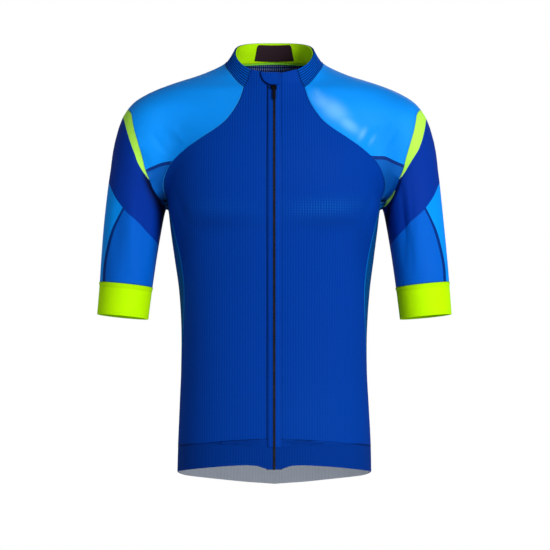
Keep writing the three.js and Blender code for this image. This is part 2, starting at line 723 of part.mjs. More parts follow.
// Hem bands: each front one runs round to the back seam of the side panel.
const hemRows = (part) => between(hemSeam[part], hemEdge[part], COUNT.hem);
const hemBackRows = transposed(hemRows("back")).map((row) => wholeRow(reversed(row)));
addPair("hem_front", transposed([...hemRows("front"), ...hemRows("side").slice(1)]), COLOURS.mesh);
add("hem_back", wall(hemBackRows, { turned: true }), COLOURS.mesh);

// Collar, from the right front's edge round the back to the left one, ribbed along its length.
// Its first columns lean forwards to meet the front's slanting join.
const LEAN_COLUMNS = 5;
const ring = joined(neckSide, neckBack);
const ringLast = ring.length - 1;
const collarRows = 2 * COLLAR_RIBS;
const collarColumns = ring.map((bottom, j) => {
  const shift = (topCornerAngle - planAngle(ring[0])) * Math.max(0, 1 - j / LEAN_COLUMNS);
  const top = j === ringLast ? collarEdgeAt(Math.PI) : collarEdgeAt(planAngle(bottom) + shift);
  return Array.from({ length: collarRows + 1 }, (_, i) => {
    const share = i / collarRows;
    if (i === 0) return top;
    if (i === collarRows) return bottom;
    if (j > 0) return settle(top.clone().lerp(bottom, share));
    const place = share * COUNT.junction;
    const k = Math.min(Math.floor(place), COUNT.junction - 1);
    return junction[k].clone().lerp(junction[k + 1], place - k);
  });
});
const collarHalf = transposed(collarColumns);
const collarGrid = collarHalf.map((row) => [...row.map(acrossX), ...reversed(row).slice(1)]);
const ribOn = (i) => (i % 2 === 1 ? COLLAR_RIB_HEIGHT : 0);
add("collar", wall(collarGrid, { raise: ribOn, turned: true }), COLOURS.mesh);

// Facing inside the collar, on some rows of the same points.
const FACING_ROW_STEP = 4;
const insideCollar = -(CLOTH + INSIDE_GAP);
const facingGrid = collarGrid.filter((_, i) => i % FACING_ROW_STEP === 0);
add(
  "collar_facing",
  wall(facingGrid, { lift: insideCollar, thickness: FACING_CLOTH, turned: true }),
  COLOURS.neon,
);

// Tape inside the back of the neck, just under the collar seam.
const seamRow = wholeRow(reversed(neckBack));
const tapeRow = seamRow.map((p, j) => {
  const below = backGrid[1][j];
  return p.clone().lerp(below, TAPE_HEIGHT / p.distanceTo(below));
});
const tapeGrid = [seamRow, tapeRow].map((row) => reversed(row));
add("neck_tape", wall(tapeGrid, { lift: insideCollar, thickness: FACING_CLOTH }), COLOURS.neon);

// Bare label on the facing, with rounded top corners.
const LABEL_ROWS = [1, 0.8, 0.5, 0];
const LABEL_COLUMNS = 8;
const labelLift = insideCollar - FACING_CLOTH - INSIDE_GAP;
const labelGrid = LABEL_ROWS.map((up) => {
  const z = THREE.MathUtils.lerp(LABEL.bottom, LABEL.top, up);
  const over = Math.max(0, z - (LABEL.top - LABEL.corner)) / LABEL.corner;
  const half = LABEL.halfWidth - LABEL.corner * (1 - Math.sqrt(1 - over * over));
  return spread(half, -half, LABEL_COLUMNS).map((x) => settleLevel(new THREE.Vector3(x, LABEL.nearY, z)));
});
add("neck_label", wall(labelGrid, { lift: labelLift, thickness: LABEL.cloth }), COLOURS.label);

// Patch of three flat pockets on the lower back, made from the back's own points.
const pocketGrid = backGrid
  .slice(POCKET.firstRow)
  .map((row) => row.slice(POCKET.sideColumn, row.length - POCKET.sideColumn));
add("back_pocket", wall(pocketGrid, { lift: CLOTH + LAYER_GAP, turned: true }), COLOURS.mesh);

// Zip tape behind the fronts, with the chain standing up between them.
const tapeSides = [-TAPE_WIDTH / 2, -CHAIN_WIDTH / 2, -CHAIN_WIDTH / 2 + SEAM_GAP];
const zipAcross = [...tapeSides, ...reversed(tapeSides).map((x) => -x)];
const behindFronts = -(CLOTH + LAYER_GAP);
const chainHeight = [0, 0, 1, 1, 0, 0].map((share) => share * (CHAIN_RISE - behindFronts));
const zipRows = [...frontMiddle.slice(0, -1), hemEdge.front[0]];
const zipPoints = zipRows.map(({ z }) => zipAcross.map((x) => fromFront({ x, z })));
add(
  "zip_tape",
  wall(zipPoints, { raise: (i, j) => chainHeight[j], lift: behindFronts, thickness: TAPE_CLOTH }),
  COLOURS.zip,
);

// Zip garage: a flap over the zip's top end, whose free edge is a quarter of an ellipse.
const GARAGE_STEPS = 4;
const garageGrid = spread(0, 1, GARAGE_STEPS).map((down) => {
  const z = THREE.MathUtils.lerp(GARAGE.top, GARAGE.bottom, down);
  const left = GARAGE.left * Math.sqrt(1 - down * down * GARAGE.roundness);
  return spread(left, GARAGE.right, GARAGE_STEPS + 1).map((x) => fromFront({ x, z }));
});
const garageLift = STRIP_RISE + GARAGE.clear + GARAGE.cloth;
add("zip_garage", wall(garageGrid, { lift: garageLift, thickness: GARAGE.cloth }), COLOURS.mesh);

// Slider and pull tab stand on the zip line, leaning with the chest. In their own frame x runs across,
// y up the zip and z outwards.
function standOnZip(z, lift) {
  const p = fromFront({ x: 0, z });
  const out = slope(p).setX(0).normalize();
  const frame = new THREE.Matrix4().makeBasis(ACROSS, out.clone().cross(ACROSS), out);
  return frame.setPosition(p.addScaledVector(out, lift));
}

const wasm = await Module();
wasm.setup();

function toManifold(geometry) {
  const bare = geometry.clone();
  bare.deleteAttribute("normal");
  bare.deleteAttribute("uv");
  const merged = mergeVertices(bare, 1e-4);
  const vertProperties = new Float32Array(merged.attributes.position.array);
  const triVerts = new Uint32Array(merged.index.array);
  return new wasm.Manifold(new wasm.Mesh({ numProp: 3, vertProperties, triVerts }));
}

function fromManifold(body) {
  const { vertProperties, triVerts } = body.getMesh();
  const geometry = new THREE.BufferGeometry();
  geometry.setAttribute("position", new THREE.Float32BufferAttribute(vertProperties, 3));
  geometry.setIndex([...triVerts]);
  geometry.computeVertexNormals();
  return geometry;
}

// A profile drawn in y and z, run along x by its width, centred.
function runAcross(shape, width) {
  const geometry = new THREE.ExtrudeGeometry(shape, { depth: width, bevelEnabled: false, curveSegments: 6 });
  const turn = new THREE.Matrix4().makeBasis(BACKWARD, UP, ACROSS);
  return geometry.translate(0, 0, -width / 2).applyMatrix4(turn);
}

function box(width, length, height, x, y, z) {
  return new THREE.BoxGeometry(width, length, height).translate(x, y, z + height / 2);
}

const pinY = -SLIDER.length / 2 + SLIDER.pinUp;
const pinZ = SLIDER.base + SEAM_GAP + PULL.eye;
function sliderGeometry() {
  const cheekX = (SLIDER.width - SLIDER.cheek) / 2;
  const pin = new THREE.CylinderGeometry(SLIDER.pin, SLIDER.pin, SLIDER.width - SLIDER.cheek, 8);
  pin.rotateZ(Math.PI / 2).translate(0, pinY, pinZ);
  const height = SLIDER.base + SLIDER.rise;
  const pieces = [
    box(SLIDER.width, SLIDER.length, SLIDER.base, 0, 0, 0),
    box(SLIDER.cheek, SLIDER.length, height, -cheekX, 0, 0),
    box(SLIDER.cheek, SLIDER.length, height, cheekX, 0, 0),
    pin,
  ];
  return fromManifold(pieces.map(toManifold).reduce((body, piece) => body.add(piece)));
}

// The tab's side view: an eye round the pin, a straight back and a ridged front.
function pullProfile() {
  const half = PULL.thickness / 2;
  const end = pinY - PULL.length;
  const shape = new THREE.Shape();
  const grip = (PULL.length - 3 * PULL.eye) / PULL.ridges;
  const meet = Math.asin(half / PULL.eye);
  shape.absarc(pinY, pinZ, PULL.eye, Math.PI + meet, Math.PI - meet, false);
  for (let i = PULL.ridges; i > 0; i -= 1) {
    shape.lineTo(end + i * grip, pinZ + half);
    shape.lineTo(end + (i - 0.5) * grip, pinZ + half + PULL.ridge);
  }
  shape.lineTo(end, pinZ + half);
  shape.lineTo(end, pinZ - half);
  shape.closePath();
  const hole = new THREE.Path();
  hole.absarc(pinY, pinZ, PULL.hole, 0, 2 * Math.PI, true);
  shape.holes.push(hole);
  return shape;
}

const sliderFrame = standOnZip(SLIDER.z, STRIP_RISE + LAYER_GAP);
add("zip_slider", sliderGeometry(), COLOURS.zip, 0.2).applyMatrix4(sliderFrame);
add("zip_pull", runAcross(pullProfile(), PULL.width), COLOURS.zip).applyMatrix4(sliderFrame);

export default jersey;
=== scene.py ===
"""Cycling jersey, filled out as if worn: sewn cloth pieces, printed fields, knit, stitches and zip.

Lengths in the tables and in all surface work are millimetres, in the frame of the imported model: +Z up,
the front faces -Y and the wearer's left side lies towards +X. Meshes are made in metres.
"""

import logging
import math
from dataclasses import dataclass, field
from enum import Enum
from typing import Sequence

import bpy
import numpy as np
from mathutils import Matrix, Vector


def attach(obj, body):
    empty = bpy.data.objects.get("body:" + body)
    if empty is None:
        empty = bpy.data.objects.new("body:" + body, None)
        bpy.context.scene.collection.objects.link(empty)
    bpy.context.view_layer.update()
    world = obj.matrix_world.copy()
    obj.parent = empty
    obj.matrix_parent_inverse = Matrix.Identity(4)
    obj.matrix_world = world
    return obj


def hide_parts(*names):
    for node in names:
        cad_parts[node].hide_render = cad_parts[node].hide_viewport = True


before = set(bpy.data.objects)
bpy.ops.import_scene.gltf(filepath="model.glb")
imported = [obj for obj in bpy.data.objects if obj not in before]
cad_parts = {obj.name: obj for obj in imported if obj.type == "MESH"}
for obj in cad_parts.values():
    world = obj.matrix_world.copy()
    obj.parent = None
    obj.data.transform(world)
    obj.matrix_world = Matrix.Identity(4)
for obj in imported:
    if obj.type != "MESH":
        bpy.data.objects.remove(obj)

log = logging.getLogger("jersey")
MM = 0.001

# Cloth and sewing sizes, and the gaps between layers.
CLOTH = 1.6
CUFF_CLOTH = 2.2
FACING_CLOTH = 0.9
SEAM_GAP = 0.3
LAYER_GAP = 0.3
INSIDE_GAP = 0.7

# Horizontal sections of the torso and of the neck.
TORSO = {
    "z": (-700, -640, -580, -520, -470, -410, -350, -300, -250, -200, -150, -110, -80, -54, -43, -33,
          -21, -11, -2, 7, 20),
    "half_width": (149, 148, 147, 144.5, 142, 141.5, 145.5, 152.5, 159, 163, 163, 160, 160, 159, 154,
                   139, 109, 90, 74, 52, 30),
    "front": (-109, -110, -107, -103, -100, -99, -103, -109, -115, -117, -111, -97, -82, -66, -58, -45,
              -34, -20, -8, -2, 0),
    "back": (109, 108, 104, 96, 89, 86, 90, 96, 102, 107, 109, 107, 102, 96, 92, 88, 82, 77, 72, 66, 45),
    "middle": (2, 2, 2, 1, 0, 0, 0, 0, 0, 1, 3, 4, 5, 5, 6, 6, 7, 8, 10, 12, 15),
    "power": (2.4, 2.4, 2.4, 2.4, 2.4, 2.4, 2.4, 2.4, 2.4, 2.35, 2.25, 2.1, 1.95, 1.8, 1.8, 1.8, 1.8,
              1.8, 1.8, 1.8, 2),
}
NECK = {
    "z": (-80, -54, -26, -3, 10, 24, 44),
    "half_width": (86, 82, 80, 73, 65, 58, 53),
    "front": (-66, -64, -58, -53, -50, -46, -42),
    "back": (66, 70, 71, 70, 67, 62, 57),
    "middle": (6, 6, 7, 8, 8, 8, 8),
    "power": (2, 2, 2, 2, 2, 2, 2),
}

# Centre line of the arm at +X, with its half width from the front and half depth from the side.
ARM = {
    "x": (96, 140, 180, 196, 205, 213, 221, 227, 231, 235),
    "y": (8, 8, 8, 7, 6, 4, 1, -2, -5, -8),
    "z": (-76, -83, -100, -138, -175, -228, -290, -345, -385, -430),
    "across": (44, 47, 52, 51, 47, 45, 42.5, 40.5, 39.5, 38.5),
    "depth": (48, 52, 56, 57, 54, 51, 47, 44, 43, 42),
}
NECK_BLEND = 12
ARMPIT_BLEND = {"z": -214, "size": 10}
SHOULDER_BLEND = {"z": -150, "size": 42}

# Seams of the half at +X.
NECK_SEAM = {
    "x": (45.5, 51.9, 59, 65.2, 71.2, 73.6, 70, 61),
    "y": (-55, -48, -37, -25, -8, 8, 28, 44),
    "z": (-44.3, -39, -30.8, -21.4, -11.4, -3, 1.5, 4),
}
NECK_SEAM_BACK = {"x": (61, 42, 20, 0), "y": (44, 59, 67, 69), "z": (4, 5.5, 6.3, 6.5)}
COLLAR_TOP = {"y": (-70, -57, -48, -25, 8, 40, 60, 75), "z": (-27, -22.5, -15, 4, 22, 32, 36, 37)}
FRONT_TOP_CORNER = {"x": 33.8, "y": -48}
FRONT_SEAM = {
    "x": (52, 61, 73.5, 87.5, 102.5, 119, 134, 146, 155.5, 162, 166.5, 167.5, 165, 161),
    "z": (-63.5, -80, -96, -107, -116.7, -127.5, -138, -148, -158, -169, -181, -193, -205, -217),
}
BACK_SEAM = {
    "x": (62, 70, 84, 104, 126, 146, 160, 165.5, 161),
    "z": (-30, -66, -95, -118, -137, -157, -180, -200, -217),
}
ARMHOLE_TOP = (224, 12)
ARMHOLE_FRONT = {
    "x": (217, 214.5, 211, 205.5, 200, 194, 187, 179, 170),
    "z": (-81, -92, -108, -126, -145, -166, -184, -200, -214),
}
ARMHOLE_BACK = {"x": (220, 213, 205, 197, 186, 170), "z": (-93, -116, -140, -163, -188, -214)}
ARMHOLE_UNDER = (166, 4)
SIDE_EDGE = {
    "z": (-240, -270, -300, -335, -375, -415, -450, -490, -540),
    "y": (-38, -49, -53, -51, -43, -32, -23, -16, -13),
}
SIDE_MIDDLE_Y = 2
HEM = {
    "angle": (0, 6, 14, 30, 50, 75, 90, 115, 150, 180),
    "seam": (-567.5, -567.5, -568, -570, -575, -583, -587, -595, -606, -610),
    "edge": (-613.5, -612, -607.5, -608, -613, -622, -627, -640, -652, -657),
}
SIDE_ANGLE = 84.5
CUFF_TOP_Z = -341
CUFF_EDGE_Z = -390
CUFF_RIB = 0.8
COLLAR_RIBS = 8
COLLAR_RIB_HEIGHT = 0.9

# Zip, flap, label and pocket sizes.
CHAIN_WIDTH = 3.4
CHAIN_RISE = 0.3
TAPE_WIDTH = 24
TAPE_CLOTH = 0.8
STRIP_WIDTH = 7.5
STRIP_RISE = 0.7
GARAGE = {"left": -19.5, "right": 7, "top": -22, "bottom": -41.5, "roundness": 0.98, "cloth": 0.9,
          "clear": 0.8}
SLIDER = {"z": -46.2, "width": 7.4, "length": 7.4, "base": 1.4, "cheek": 0.9, "rise": 2.5, "pin": 0.5,
          "pin_up": 1.7}
PULL = {"width": 4.8, "length": 18.5, "thickness": 1.6, "eye": 1.2, "hole": 0.8, "ridges": 7,
        "ridge": 0.3}
TAPE_HEIGHT = 3
LABEL = {"half_width": 32.5, "bottom": 9.5, "top": 33, "corner": 6, "cloth": 0.6, "near_y": 60}
POCKET = {"first_row": 20, "side_column": 1}

# Largest creases, on both sides: ridges (positive) and troughs between two points.
FOLDS = {
    "x": (208, 187, 214, 234, 189, 182, 215),
    "y": (-48, -43, -47, -40, -44, 50, 54),
    "z": (-134, -178, -190, -210, -215, -200, -200),
    "to_x": (186, 170, 214, 238, 195, 200, 222),
    "to_y": (-42, -20, -44, -38, -40, 58, 48),
    "to_z": (-180, -212, -330, -320, -320, -150, -320),
    "width": (9, 9, 9, 10, 8, 10, 11),
    "height": (-4, -4.5, 1.6, -2, -2, -2.5, -2),
}
# Lesser creases, each on its own side (x has its sign).
CREASES = {
    "x": (176, 160, 186, 205, 226, -186, -160, -206, 150, -150, 198, 190),
    "y": (-48, -49, -47, -46, -44, -47, -49, -46, -55, -55, -46, -43),
    "z": (-96, -90, -104, -210, -200, -110, -100, -200, -200, -200, -170, -180),
    "to_x": (140, 118, 160, 208, 240, -160, -132, -212, 128, -128, 210, 200),
    "to_y": (-59, -72, -52, -44, -36, -50, -64, -44, -79, -79, -46, -41),
    "to_z": (-136, -126, -146, -330, -300, -146, -132, -320, -250, -250, -300, -290),
    "width": (5, 6, 5, 5, 6, 5, 6, 6, 9, 9, 4, 4),
    "height": (-1.6, 1.5, -1.4, -1, 1.2, -1.3, 1.3, -1.2, -1.6, -1.8, 1.2, -1.2),
}

# Points along seams and across pieces, for one step of the plain model's.
FINE = 5
ALONG = {"junction": 4, "seam": 12, "collar": 8, "neck_back": 6, "underarm": 4, "side": 14}
ACROSS = {"front": 90, "shoulder": 42, "sleeve": 60, "cuff": 16, "hem": 14, "strip": 10}
SEAM_CROWDING = 1.2
ARMHOLE_GROWTH = 1.25
LEAN_COLUMNS = 5
NECK_MIDDLE_Y = 8

# The photographed view: its distance, scale and middle.
SIGHT = {"distance": 3000.0, "scale": 1.53, "middle_x": 274.2, "middle_y": 275.0, "height": -325.9}

# Printed edges as seen in that view: pixels across from the middle, and pixels down.
BAND_EDGE = {"across": (100, 113, 119, 127, 137, 149.5, 159.3, 165, 175),
             "down": (262, 248, 241, 232, 221.5, 210, 196.6, 183.8, 160)}
WEDGE_EDGE = {"down": (190, 207, 226, 247, 266, 280.5, 300),
              "across": (140, 151.2, 161.2, 167.2, 170.8, 171.8, 173)}
WEDGE_LINE_WIDTH = 4
LOW_THREAD_Z = -160
STRIPE_LEFT = {"across": (90, 101, 111, 119, 129, 140), "down": (155, 156, 156.4, 160, 164.6, 170)}
STRIPE_RIGHT = {"across": (90, 98, 105, 114, 129, 140), "down": (161, 161.3, 161.3, 163.3, 170.2, 176)}
STRIPE_WIDTH = 5.4
NEON_LEFT = {"down": (100, 112, 119, 126.8, 138.3, 149, 157, 165, 172, 176, 179, 188, 196, 203, 207),
             "across": (158, 154, 152, 151, 148.4, 144.6, 140, 135, 130.8, 128, 125.2, 121.5, 118.6, 114.4, 111)}
NEON_RIGHT = {"down": (100, 112, 119, 130, 141, 152, 162, 170, 175.7, 178.5, 181),
              "across": (158, 153.5, 150.6, 147.6, 144.4, 140.5, 137, 132.4, 128.3, 126, 124)}
NEON_GAP = (179, 190)
# Deep shade in the armpit folds of the sleeves: its middle, half width and darkness at heights.
SHADE_LEFT = {"down": (172, 180, 189.5, 198, 206, 222, 240, 256),
              "across": (131, 126.2, 122.8, 118.6, 114.6, 112.5, 112, 112),
              "width": (1, 1.5, 1.8, 2.2, 3.2, 3.5, 3, 3), "dark": (0, 0.85, 0.9, 0.9, 0.95, 0.9, 0.4, 0)}
SHADE_RIGHT = {"down": (152, 162, 170, 178, 188, 200, 212, 240, 262),
               "across": (139, 134, 130, 127.2, 122.4, 115.4, 111.5, 111, 110),
               "width": (1, 1.6, 2.4, 3.6, 5.2, 6.5, 6.5, 4, 3),
               "dark": (0, 0.5, 0.85, 0.92, 0.95, 0.97, 0.95, 0.5, 0)}
# Painted sheen on one shoulder: middle, direction, half length, half width and strength of each soft spot.
SHEEN = {"across": (50, 60, 74, 88, 98, 44), "down": (103, 110, 124, 134, 140, 95),
         "turn": (38, 36, 38, 120, 122, 60), "long": (16, 18, 16, 8, 8, 8), "wide": (8, 10, 6.5, 3.5, 2.2, 5),
         "strength": (0.8, 0.95, 0.85, 0.8, 0.6, 0.6)}
# The same for the fronts' shade under the chest and the glints of their openings.
CHEST_SHADE = {"across": (62, 92), "down": (222, 250), "turn": (0, 80), "long": (42, 40), "wide": (9, 12),
               "strength": (0.16, 0.16)}
CHEST_GLINT = {"across": (52, 40), "down": (207, 420), "turn": (-4, 0), "long": (36, 50), "wide": (9, 40),
               "strength": (0.9, 0.2)}



def row(table: dict, *columns: str) -> np.ndarray:
    """Rows of a table as points.

    Args:
        table: named columns of equal length.
        columns: the columns to take, in order.

    Returns:
        An array with one row per point.
    """
    return np.stack([np.asarray(table[name], float) for name in columns], axis=-1)


def read(table: dict, key: str, column: str, place: np.ndarray | float) -> np.ndarray:
    """Smooth value of a column anywhere along a table's key column."""
    xs, ys = np.asarray(table[key], float), np.asarray(table[column], float)
    if xs[-1] < xs[0]:
        xs, ys = xs[::-1], ys[::-1]
    place = np.asarray(place, float)
    b = np.clip(np.searchsorted(xs, place), 1, len(xs) - 1)
    a = b - 1
    before, after = np.maximum(a - 1, 0), np.minimum(b + 1, len(xs) - 1)
    span = xs[b] - xs[a]
    t = np.clip((place - xs[a]) / span, 0, 1)
    slope_a = (ys[b] - ys[before]) / (xs[b] - xs[before])
    slope_b = (ys[after] - ys[a]) / (xs[after] - xs[a])
    t2, t3 = t * t, t * t * t
    return (ys[a] * (2 * t3 - 3 * t2 + 1) + slope_a * span * (t3 - 2 * t2 + t)
            + ys[b] * (3 * t2 - 2 * t3) + slope_b * span * (t3 - t2))


def smooth_through(points: np.ndarray, per: int) -> np.ndarray:
    """A centripetal smooth curve through points, with a number of steps per span."""
    p = np.vstack([2 * points[0] - points[1], points, 2 * points[-1] - points[-2]])
    t = (np.arange(per) / per)[:, None]
    out = []
    for a, b, c, d in zip(p, p[1:], p[2:], p[3:]):
        d0, d1, d2 = (max(float(np.sum((q - r) ** 2)) ** 0.25, 1e-4) for q, r in ((a, b), (b, c), (c, d)))
        m1 = ((b - a) / d0 - (c - a) / (d0 + d1) + (c - b) / d1) * d1
        m2 = ((c - b) / d1 - (d - b) / (d1 + d2) + (d - c) / d2) * d1
        out.append(b + m1 * t + (3 * (c - b) - 2 * m1 - m2) * t**2 + (2 * (b - c) + m1 + m2) * t**3)
    return np.vstack([*out, p[-2]])


def along(points: np.ndarray, axis: int = 0, flat: bool = False) -> np.ndarray:
    """Length run up so far along an axis of a grid of points, level length alone when flat."""
    step = np.diff(points, axis=axis)
    if flat:
        step = step[..., :2]
    length = np.linalg.norm(step, axis=-1)
    zero = np.zeros_like(np.take(length, [0], axis=axis))
    return np.cumsum(np.concatenate([zero, length], axis=axis), axis=axis)


def resample(points: np.ndarray, shares: np.ndarray) -> np.ndarray:
    """Points at shares of a line's length."""
    length = along(points)
    places = shares * length[-1]
    return np.stack([np.interp(places, length, points[:, k]) for k in range(3)], axis=-1)


def crowded(steps: int, crowding: float = 1.0) -> np.ndarray:
    """Shares from 0 to 1 whose steps get shorter towards 1."""
    return 1 - (1 - np.arange(steps + 1) / steps) ** crowding


def calmed(grid: np.ndarray, passes: int) -> np.ndarray:
    """A grid whose inner values are drawn towards the mean of their neighbours."""
    out = grid.copy()
    for _ in range(passes):
        mean = (out[:-2, 1:-1] + out[2:, 1:-1] + out[1:-1, :-2] + out[1:-1, 2:]) / 4
        out[1:-1, 1:-1] = (out[1:-1, 1:-1] + mean) / 2
    return out


def mirrored(points: np.ndarray) -> np.ndarray:
    """Points on the other side of the garment."""
    return points * np.array([-1.0, 1.0, 1.0])


class Garment:
    """The smooth surface that every cloth piece lies on: torso, neck and two arms, blended."""

    STEP = 2.0
    CHUNK = 12000

    def __init__(self) -> None:
        self.stacks = [self._fill(TORSO), self._fill(NECK)]
        self.line = smooth_through(row(ARM, "x", "y", "z"), 4)
        place = np.linspace(0, len(ARM["x"]) - 1, len(self.line))
        self.arm = {name: np.interp(place, range(len(ARM[name])), ARM[name]) for name in ("across", "depth")}

    def _fill(self, table: dict) -> tuple[float, np.ndarray]:
        start = float(table["z"][0])
        rows = math.ceil((table["z"][-1] - start) / self.STEP)
        z = start + self.STEP * np.arange(rows + 1)
        names = ("half_width", "front", "back", "middle", "power")
        return start, np.stack([read(table, "z", name, z) for name in names], axis=-1)

    def _stack(self, stack: tuple[float, np.ndarray], p: np.ndarray) -> np.ndarray:
        start, dense = stack
        place = np.clip((p[:, 2] - start) / self.STEP, 0, len(dense) - 1.001)
        i = place.astype(int)
        section = dense[i] + (dense[i + 1] - dense[i]) * (place - i)[:, None]
        half_width, front, back, middle, power = section.T
        y = p[:, 1] - middle
        depth = np.where(y < 0, middle - front, back - middle)
        share = ((np.abs(p[:, 0]) / half_width) ** power + (np.abs(y) / depth) ** power) ** (1 / power)
        return np.hypot(p[:, 0], y) * (1 - 1 / np.maximum(share, 0.05))

    def _arm(self, p: np.ndarray) -> np.ndarray:
        q = p * [1, 1, 1]
        q[:, 0] = np.abs(q[:, 0])
        a, run = self.line[:-1], np.diff(self.line, axis=0)
        t = np.clip(((q @ run.T) - np.sum(a * run, axis=1)) / np.sum(run * run, axis=1), 0, 1)
        parts = [q[:, k, None] - a[:, k] - run[:, k] * t for k in range(3)]
        near = sum(part * part for part in parts)
        k = np.argmin(near, axis=1)
        pick = (np.arange(len(q)), k)
        across, depth = (v[k] + (v[k + 1] - v[k]) * t[pick] for v in (self.arm["across"], self.arm["depth"]))
        vx, vy, vz = (part[pick] for part in parts)
        share = np.hypot(np.hypot(vx, vz) / across, vy / depth)
        return np.sqrt(near[pick]) * (1 - 1 / np.maximum(share, 0.05))

    @staticmethod
    def _soft_min(a: np.ndarray, b: np.ndarray, size: np.ndarray | float) -> np.ndarray:
        overlap = np.maximum(size - np.abs(a - b), 0) / size
        return np.minimum(a, b) - overlap * overlap * size / 4

    def distance(self, points: np.ndarray) -> np.ndarray:
        """Rough distance outwards from the surface, negative inside."""
        flat = points.reshape(-1, 3)
        out = []
        for start in range(0, len(flat), self.CHUNK):
            p = flat[start : start + self.CHUNK]
            torso, neck = (self._stack(stack, p) for stack in self.stacks)
            rise = np.clip((p[:, 2] - ARMPIT_BLEND["z"]) / (SHOULDER_BLEND["z"] - ARMPIT_BLEND["z"]), 0, 1)
            rise = rise * rise * (3 - 2 * rise)
            size = ARMPIT_BLEND["size"] + (SHOULDER_BLEND["size"] - ARMPIT_BLEND["size"]) * rise
            out.append(self._soft_min(self._soft_min(torso, neck, NECK_BLEND), self._arm(p), size))
        return np.concatenate(out).reshape(points.shape[:-1])

    def slope(self, points: np.ndarray) -> np.ndarray:
        """Direction and rate in which the distance grows."""
        probe = 0.5 * np.eye(3)
        sides = [self.distance(points + step) - self.distance(points - step) for step in probe]
        return np.stack(sides, axis=-1)

    def normal(self, points: np.ndarray) -> np.ndarray:
        """Outward unit direction."""
        g = self.slope(points)
        return g / np.linalg.norm(g, axis=-1, keepdims=True)

    def settle(self, points: np.ndarray, level: bool = False) -> np.ndarray:
        """Points moved onto the surface along its slope, or along the level part of it."""
        q = points.reshape(-1, 3).astype(float)
        busy = np.arange(len(q))
        for _ in range(14):
            g = self.slope(q[busy])
            if level:
                g[:, 2] = 0
            size = np.linalg.norm(g, axis=1)
            away = self.distance(q[busy]) / np.maximum(size, 0.3)
            q[busy] -= g / size[:, None] * np.clip(away, -14, 14)[:, None]
            busy = busy[np.abs(away) > 0.003]
            if not len(busy):
                break
        return q.reshape(points.shape)

    def cast(self, starts: np.ndarray, directions: np.ndarray) -> np.ndarray:
        """Where straight lines from points inside meet the surface."""
        starts, directions = np.broadcast_arrays(np.asarray(starts, float), np.asarray(directions, float))
        reach = np.full(starts.shape[:-1], 12.0)
        for _ in range(26):
            away = self.distance(starts + directions * reach[..., None])
            reach = np.maximum(reach - 0.8 * np.clip(away, -40, 40), 0)
            if np.max(np.abs(away)) < 0.003:
                break
        return starts + directions * reach[..., None]

    def from_front(self, x: np.ndarray | float, z: np.ndarray | float) -> np.ndarray:
        """Surface points seen from the front."""
        x, z = np.broadcast_arrays(np.asarray(x, float), np.asarray(z, float))
        return self.cast(np.stack([x, np.full(x.shape, 4.0), z], axis=-1), (0, -1, 0))

    def from_back(self, x: np.ndarray | float, z: np.ndarray | float) -> np.ndarray:
        """Surface points seen from the back."""
        x, z = np.broadcast_arrays(np.asarray(x, float), np.asarray(z, float))
        return self.cast(np.stack([x, np.full(x.shape, 4.0), z], axis=-1), (0, 1, 0))

    def around(self, angle: np.ndarray | float, z: np.ndarray | float) -> np.ndarray:
        """Surface points at compass angles about the torso, at heights."""
        turn, z = np.broadcast_arrays(np.radians(angle), np.asarray(z, float))
        zero = np.zeros(z.shape)
        starts = np.stack([zero, zero + SIDE_MIDDLE_Y, z], axis=-1)
        return self.cast(starts, np.stack([np.sin(turn), -np.cos(turn), zero], axis=-1))

    def line_through(self, points: np.ndarray, steps: int, growth: float = 1.0) -> np.ndarray:
        """A smooth line through points, laid onto the surface."""
        shares = (np.arange(steps + 1) / steps) ** growth
        return self.settle(resample(smooth_through(points, 24), shares))


def plan_angle(points: np.ndarray) -> np.ndarray:
    """Plan angle about the neck: 0 is the front."""
    return np.arctan2(points[..., 0], NECK_MIDDLE_Y - points[..., 1])


def compass(points: np.ndarray) -> np.ndarray:
    """Compass angle about the torso in degrees: 0 is the front."""
    return np.degrees(np.arctan2(points[..., 0], SIDE_MIDDLE_Y - points[..., 1]))


def chain(*lines: np.ndarray) -> np.ndarray:
    """Lines joined end to end, with shared ends kept once."""
    return np.vstack([lines[0], *(line[1:] for line in lines[1:])])


